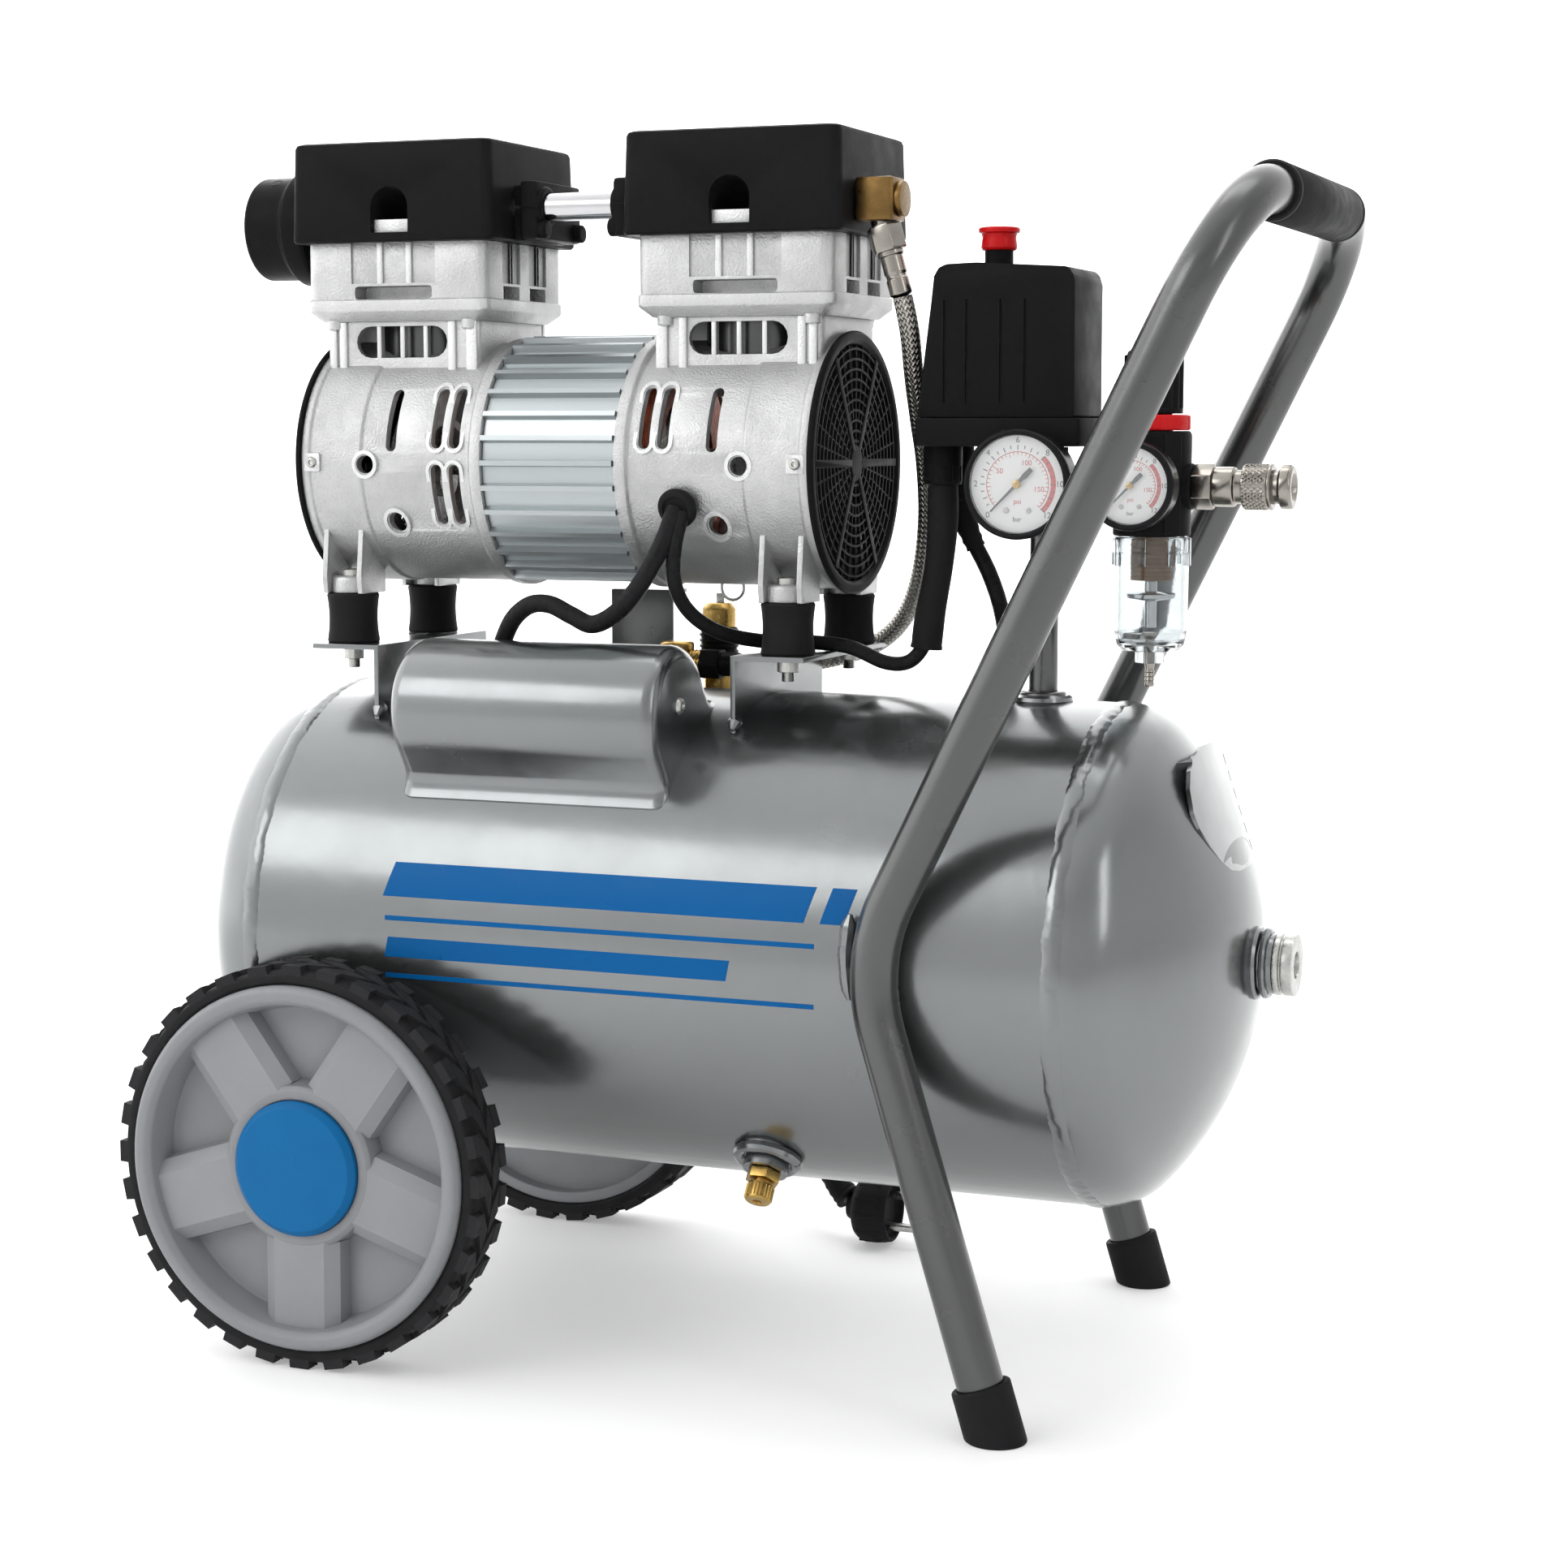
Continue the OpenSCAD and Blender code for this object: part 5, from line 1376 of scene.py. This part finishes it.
# ---- pressure switch ----
def switch_group():
    low, high = span("switch_base")
    bm = bmesh.new()
    lid = [(109.6, 463.0), (188, 463.0), (187.6, 528.5), (184.5, 533.5), (139, 536.2), (122.5, 535.6),
           (118.4, 532)]
    shell = bmesh.new()
    extruded(shell, soft([(MID + x, z) for x, z in lid], 2), -25, 25, spun(math.pi / 2, "X"), 1.2)
    grooves = []
    for x in (123, 134, 151, 163):
        grooves.append(box((MID + x, -26, 470), (MID + x + 1.5, -24.3, 519)))
    shell = carved(shell, grooves)
    publish("switch_lid", shell, COVER, ("switch_cover",))
    block(bm, (low.x + 0.4, low.y, high.z - 13.6), (high.x - 0.4, high.y, high.z), 1.2, corner=3)
    for x, y, r in ((118, -9, 9.5), (119, 13, 7.5)):
        place = moved(MID + x, y, 0)
        ringed(bm, [(r - 2.5, 431), (r - 0.6, 431), (r - 0.2, 433), (r - 0.2, 440), (r, 441), (r, 450),
                    (r - 2.5, 450)], 0.6, place, 40)
        for spin in around(place, 10):
            block(bm, (r - 0.9, -1.1, 432.5), (r + 0.15, 1.1, 440), 0.3, spin)
    publish("switch_foot", bm, COVER, ("switch_base",))
    low, high = span("switch_button")
    x = middle("switch_button").x
    place = moved(x, 0, 0)
    bm = bmesh.new()
    lathed(bm, [(0, 542.9), (8.0, 542.9), (8.8, 544.2), (8.2, 549), (8.6, 551), (10, 551.4),
                (10, high.z - 0.5), (8.9, high.z), (7.6, high.z), (7.0, high.z - 1.4), (0, high.z - 1.8)],
           0.5, place, 48)
    publish("button_cap", bm, RED, ("switch_button",), body="pressure_button")
    bm = bmesh.new()
    lathed(bm, [(0, low.z), (6.9, low.z), (6.9, 543.4), (0, 543.4)], 0.5, place, 40)
    publish("button_stem", bm, COVER, body="pressure_button")
    bm = bmesh.new()
    ringed(bm, [(7.3, 532), (9.6, 532), (9.2, 536.2), (7.3, 536.5)], 0.5, place, 40)
    publish("button_collar", bm, COVER)


# ---- gauges ----
def lettering(bm, text, place, size):
    """Generic dial figures as thin solid letters, centred at a place."""
    curve = bpy.data.curves.new("figures", "FONT")
    curve.body = text
    curve.size = size
    curve.align_x = "CENTER"
    curve.align_y = "CENTER"
    curve.extrude = 0.05
    thing = bpy.data.objects.new("figures", curve)
    bpy.context.scene.collection.objects.link(thing)
    mesh = bpy.data.meshes.new_from_object(thing)
    mesh.transform(place)
    bm.from_mesh(mesh)
    bpy.data.objects.remove(thing)


def gauge(node, needle_body, label):
    """Round pressure gauge with a printed dial, needle and domed lens; local Z points to the viewer."""
    low, high = span(node)
    r = (high.z - low.z) / 2
    k = r / 26
    place = axis_frame((middle(node).x, low.y, middle(node).z), -Y) @ spun(math.pi)
    up = place.to_3x3() @ Vector((0, 1, 0))
    if up.z < 0:
        place = place @ spun(math.pi)
    deep = high.y - low.y
    bm = bmesh.new()
    lathed(bm, [(0, -deep), (7, -deep), (7, -deep + 3.5), (r - 3, -deep + 3.2), (r - 0.7, -deep + 7),
                (r - 0.4, -6), (r, -5), (r, -1.6), (r - 1.2, 0), (r - 2.6, 0), (r - 3.1, -1.6),
                (r - 3.3, -4.4), (0, -4.4)], 0.7, place, 80)
    publish(f"{label}_case", bm, GLOSS_BLACK, (node,))
    dial_r = r - 3.2
    bm = bmesh.new()
    turned(bm, [(0, -4.6), (dial_r, -4.6), (dial_r, -4.1), (0, -4.1)], place, 72)
    publish(f"{label}_dial", bm, DIAL)
    face = place @ moved(0, 0, -4.05)
    black, red = bmesh.new(), bmesh.new()

    def mark(mesh, turn, inner, outer, wide):
        spin = face @ spun(-turn)
        block(mesh, (-wide / 2, inner, -0.08), (wide / 2, outer, 0.03), 0, spin)

    def at(value, top):
        """Turn from twelve o'clock for a scale value."""
        return math.radians(-135 + 270 * value / top)
    for tick in range(25):
        mark(black, at(tick, 24), dial_r * (0.73 if tick % 2 else 0.70), dial_r * 0.80, 0.42 * k)
    for tick in range(35):
        mark(red, at(tick, 34), dial_r * (0.60 if tick % 5 else 0.57), dial_r * 0.66, 0.3 * k)
    arc = [at(8 + 4 * j / 24, 12) for j in range(25)]
    inner, outer = dial_r * 0.71, dial_r * 0.82
    for one, two in zip(arc, arc[1:]):
        corners = ((inner, one), (outer, one), (outer, two), (inner, two))
        quad = [face @ Vector((q * math.sin(a), q * math.cos(a), z)) for z in (-0.05, 0.02)
                for q, a in corners]
        v = [red.verts.new(p) for p in quad]
        for f in ((0, 1, 2, 3), (7, 6, 5, 4), (0, 4, 5, 1), (2, 6, 7, 3), (1, 5, 6, 2), (3, 7, 4, 0)):
            red.faces.new([v[i] for i in f])
    for j in range(60):
        a = at(j + 0.5, 60)
        mark(red, a, dial_r * 0.655, dial_r * 0.67, dial_r * 0.665 * math.radians(4.7))
    for value in (0, 2, 4, 6, 8, 10, 12):
        a = at(value, 12)
        spot = face @ moved(dial_r * 0.90 * math.sin(a), dial_r * 0.90 * math.cos(a), 0)
        lettering(black, str(value), spot, 4.0 * k)
    for value, top in ((50, 170), (100, 170), (150, 170)):
        a = at(value, top)
        spot = face @ moved(dial_r * 0.47 * math.sin(a), dial_r * 0.47 * math.cos(a), 0)
        lettering(red, str(value), spot, 3.5 * k)
    lettering(red, "psi", face @ moved(0, -dial_r * 0.36, 0), 3.4 * k)
    lettering(black, "bar", face @ moved(0, -dial_r * 0.72, 0), 3.4 * k)
    publish(f"{label}_scale", black, INK)
    publish(f"{label}_red_scale", red, RED_INK)
    bm = bmesh.new()
    for x in (-dial_r * 0.24, dial_r * 0.24):
        screw(bm, face @ moved(x, -dial_r * 0.54, 0), 1.5 * k, 0.7)
    publish(f"{label}_dial_screws", bm, ZINC)
    bm = bmesh.new()
    needle = face @ spun(math.radians(135))
    tip = [(-0.35 * k, dial_r * 0.80), (0.35 * k, dial_r * 0.80), (0.75 * k, 1), (0.8 * k, -1),
           (0.9 * k, -dial_r * 0.16), (1.35 * k, -dial_r * 0.24), (1.2 * k, -dial_r * 0.44),
           (-1.2 * k, -dial_r * 0.44), (-1.35 * k, -dial_r * 0.24), (-0.9 * k, -dial_r * 0.16),
           (-0.8 * k, -1), (-0.75 * k, 1)]
    extruded(bm, tip, 1.1, 1.6, needle, 0.1, 1)
    publish(f"{label}_pointer", bm, GLOSS_BLACK, (node + "_needle",), body=needle_body)
    bm = bmesh.new()
    lathed(bm, [(0, 0.4), (1.9 * k, 0.4), (2.1 * k, 1.2), (2.0 * k, 2.2), (0.8 * k, 2.5), (0.6 * k, 2.2),
                (0, 2.2)], 0.25, face, 32)
    publish(f"{label}_hub", bm, BRASS, body=needle_body)
    bm = bmesh.new()
    turned(bm, [(r - 2.9, -1.4), (r - 4.5, -0.9), (r * 0.5, -0.3), (0, -0.1), (0, -0.8), (r * 0.5, -1.0),
                (r - 4.5, -1.6), (r - 2.9, -2.1)], place, 72)
    publish(f"{label}_lens", bm, LENS)


# ---- regulator, filter bowl and coupler ----
def regulator_group():
    base = moved(REG_X, 0, 0)
    bm = bmesh.new()
    lathed(bm, [(0, 407.2), (18.4, 407.2), (18.5, 409), (18.5, 455), (17.6, 456.8), (9, 456.8), (9, 470),
                (0, 470)], 0.8, base, 64)
    for x0, x1 in ((MID + 199.9, REG_X), (REG_X, MID + 240.4)):
        lathed(bm, [(0, 0), (10.4, 0), (11, 0.8), (11, x1 - x0 - 0.8), (10.4, x1 - x0), (0, x1 - x0)], 0.4,
               axis_frame((x0, 0, OUT.z), X), 48)
    stub = axis_frame((REG_X, -21.9, middle("gauge_outlet").z), Y)
    lathed(bm, [(0, 0), (8, 0), (8, 22), (0, 22)], 0.4, stub, 36)
    for spin in around(base, 4, math.pi / 4):
        block(bm, (16, -4.5, 408), (18.9, 4.5, 455.5), 0.7, spin)
    publish("regulator_housing", bm, COVER, ("regulator_body",))
    bm = bmesh.new()
    low, high = span("regulator_ring")
    ringed(bm, [(9.2, low.z), (17.0, low.z), (17.6, low.z + 1), (17.6, high.z - 1), (16.8, high.z),
                (9.2, high.z)], 0.5, base, 64)
    for spin in around(base, 6):
        block(bm, (15.5, -1.6, low.z + 0.4), (17.9, 1.6, high.z - 0.4), 0.5, spin)
    publish("lock_ring", bm, RED, ("regulator_ring",))
    bm = bmesh.new()
    low, high = span("regulator_knob")
    wave = [((13.6 + 0.55 * math.cos(18 * a)) * math.cos(a), (13.6 + 0.55 * math.cos(18 * a)) * math.sin(a))
            for a in (math.tau * k / 144 for k in range(144))]
    extruded(bm, wave, low.z + 2, high.z - 2.4, base, 0.7)
    ringed(bm, [(9.1, low.z), (14.0, low.z), (14.0, low.z + 2.4), (9.1, low.z + 2.4)], 0.4, base, 60)
    lathed(bm, [(0, high.z - 3), (12.9, high.z - 3), (12.6, high.z - 1), (11.4, high.z), (0, high.z)], 0.5,
           base, 60)
    publish("knob", bm, COVER, ("regulator_knob",), body="pressure_knob")
    bowl()
    coupler()


def bowl():
    base = moved(REG_X, 0, 0)
    bm = bmesh.new()
    ringed(bm, [(15.6, 406.8), (18.2, 406.8), (18.8, 405.6), (18.8, 400), (18.0, 399), (17.6, 372),
                (17.4, 360), (16.2, 355), (13.5, 352.4), (7.0, 352.2), (7.0, 346.4), (2.6, 346.2),
                (2.6, 355.4), (12, 355.7), (14.4, 358), (15.4, 362)], 0.8, base, 72)
    for spin in around(base, 8):
        block(bm, (17.6, -2.0, 393), (19.0, 2.0, 406.4), 0.5, spin)
    publish("bowl_shell", bm, BOWL, ("filter_bowl",))
    bm = bmesh.new()
    rings = [(0, 386), (9.6, 386)]
    for k in range(9):
        rings += [(9.9, 387.4 + 2.1 * k), (9.5, 388.4 + 2.1 * k)]
    turned(bm, rings + [(9.8, 406.4), (0, 406.4)], base, 44)
    publish("filter_core", bm, BROWN, ("filter_element",))
    bm = bmesh.new()
    lathed(bm, [(0, 363.3), (2.8, 363.3), (2.9, 376), (11.5, 377.4), (12, 379.6), (3, 380.4), (3, 386.4),
                (0, 386.4)], 0.4, base, 40)
    publish("baffle", bm, CHROME)
    bm = bmesh.new()
    rings = [(0, 335), (2.0, 335)]
    for k in range(4):
        rings += [(2.35, 336 + 2 * k), (2.0, 337.6 + 2 * k)]
    turned(bm, rings + [(2.35, 345), (2.35, 357.6), (4.3, 358.7), (4.3, 360.4), (0, 360.6)], base, 28)
    publish("bowl_valve", bm, NICKEL, ("bowl_drain",), body="water_drain")


def coupler():
    start = MID + 240.6
    place = axis_frame((start, 0, OUT.z), X)
    bm = bmesh.new()
    hexagon(bm, 19, 0, 9.6, place @ spun(math.radians(30)), 1.1)
    length = span("coupler_body")[1].x - start
    ringed(bm, [(3, -10), (4.8, -10), (4.8, 0), (8.4, 0.2), (8.4, 9.6), (9.4, 10.2), (9.4, 19.2),
                (8.6, 19.8), (8.0, 20.2), (8.0, 40.6), (9.2, 41.2), (10.5, 42), (10.5, length - 1),
                (9.6, length), (6.6, length), (5.3, length - 2.2), (5.1, 22), (3, 21)], 0.4, place, 64,
           fine=2)
    publish("coupler", bm, NICKEL, ("coupler_body",))
    low, high = span("coupler_sleeve")
    place = axis_frame((low.x, 0, OUT.z), X)
    length = high.x - low.x
    bm = bmesh.new()
    ringed(bm, [(8.06, 0), (10.3, 0), (10.5, 0.6), (10.5, length - 2.6), (10.0, length - 2.0),
                (11.0, length - 1.4), (11.0, length - 0.4), (10.4, length), (8.06, length)], 0.25, place,
           72, fine=2)
    rows, turns = 7, 30
    pitch = (length - 3.6) / rows
    for j in range(rows):
        for k in range(turns):
            a = math.tau * (k + 0.5 * (j % 2)) / turns
            x = 0.9 + pitch * (j + 0.5)
            wide = math.tau / turns * 0.5
            points = [(10.45, a - wide, x), (10.45, a, x - pitch * 0.95), (10.45, a + wide, x),
                      (10.45, a, x + pitch * 0.95)]
            foot = [bm.verts.new(place @ Vector((r * math.cos(b), r * math.sin(b), h))) for r, b, h in points]
            top = bm.verts.new(place @ Vector((11.0 * math.cos(a), 11.0 * math.sin(a), x)))
            bm.faces.new(foot)
            for m in range(4):
                bm.faces.new((foot[m], foot[(m + 1) % 4], top))
    publish("release_collar", bm, NICKEL, ("coupler_sleeve",), smooth=20, body="release_sleeve")


# ---- motor cables ----
THICK = [
    (-1, -62, 419), (-3, -71, 404), (-12, -76, 385), (-26, -74, 370), (-40, -73, 363), (-52, -72, 367),
    (-64, -71, 372), (-76, -69, 371.5), (-87, -66, 364), (-95, -62, 352), (-97, -61, 345),
]
THIN = [
    (3, -62, 417), (2, -69, 402), (1, -68, 385), (4, -58, 370), (14, -44, 359), (30, -26, 353.6),
    (50, -16, 353), (72, -15, 351), (90, -14, 344), (101, -11, 344), (108, -9.5, 351), (110, -9, 360),
]
SLEEVE = [(118, -9, 430.8), (118, -9, 412), (116, -9, 390), (112, -9, 368), (110, -9, 351)]


def cable_group():
    bm = bmesh.new()
    swept(bm, smooth_path(along_tank(THICK), 8), 4.5, 20)
    swept(bm, smooth_path(along_tank(THIN), 8), 3.6, 20)
    publish("motor_leads", bm, JACKET, ("motor_cables",))
    bm = bmesh.new()
    lathed(bm, [(0, -8), (7.3, -8), (7.3, 2.4), (10, 2.8), (10, 5), (8.6, 6.8), (6.8, 7.2), (6.2, 6),
                (0, 5.6)], 0.8, axis_frame((MID, -57.6, 420.7), (0, -0.951, -0.309)), 44)
    publish("cable_grommet", bm, RUBBER)
    bm = bmesh.new()
    path = smooth_path(along_tank(SLEEVE), 10)
    swept(bm, path, lambda t: 7.3 + 0.3 * math.sin(9 * t) + 0.4 * (t > 0.97), 36)
    publish("cable_sleeve", bm, RUBBER)


def build():
    add_camera()
    add_studio()
    mains_lead()
    tank_group()
    wheel_group(-1, "near")
    wheel_group(1, "far")
    frame_group()
    housing(-1, "left")
    housing(1, "right")
    stator_group()
    publish("fan_blades", merged(fan(-1), fan(1)), COVER, ("cooling_fans",),
            body="rotor_group")
    publish("grilles", merged(guard(-1), guard(1)), COVER, ("fan_guards",))
    top_group()
    air_lines()
    mount_group()
    switch_group()
    gauge("gauge_main", "tank_needle", "tank_gauge")
    gauge("gauge_outlet", "outlet_needle", "outlet_gauge")
    regulator_group()
    cable_group()
    for node, finish in (("run_capacitor", EXTRUDED), ("cylinder_sleeves", FRAME_PAINT), ("rotor", ZINC),
                         ("piston_left", CAST), ("piston_right", CAST)):
        dress(node, finish)


build()
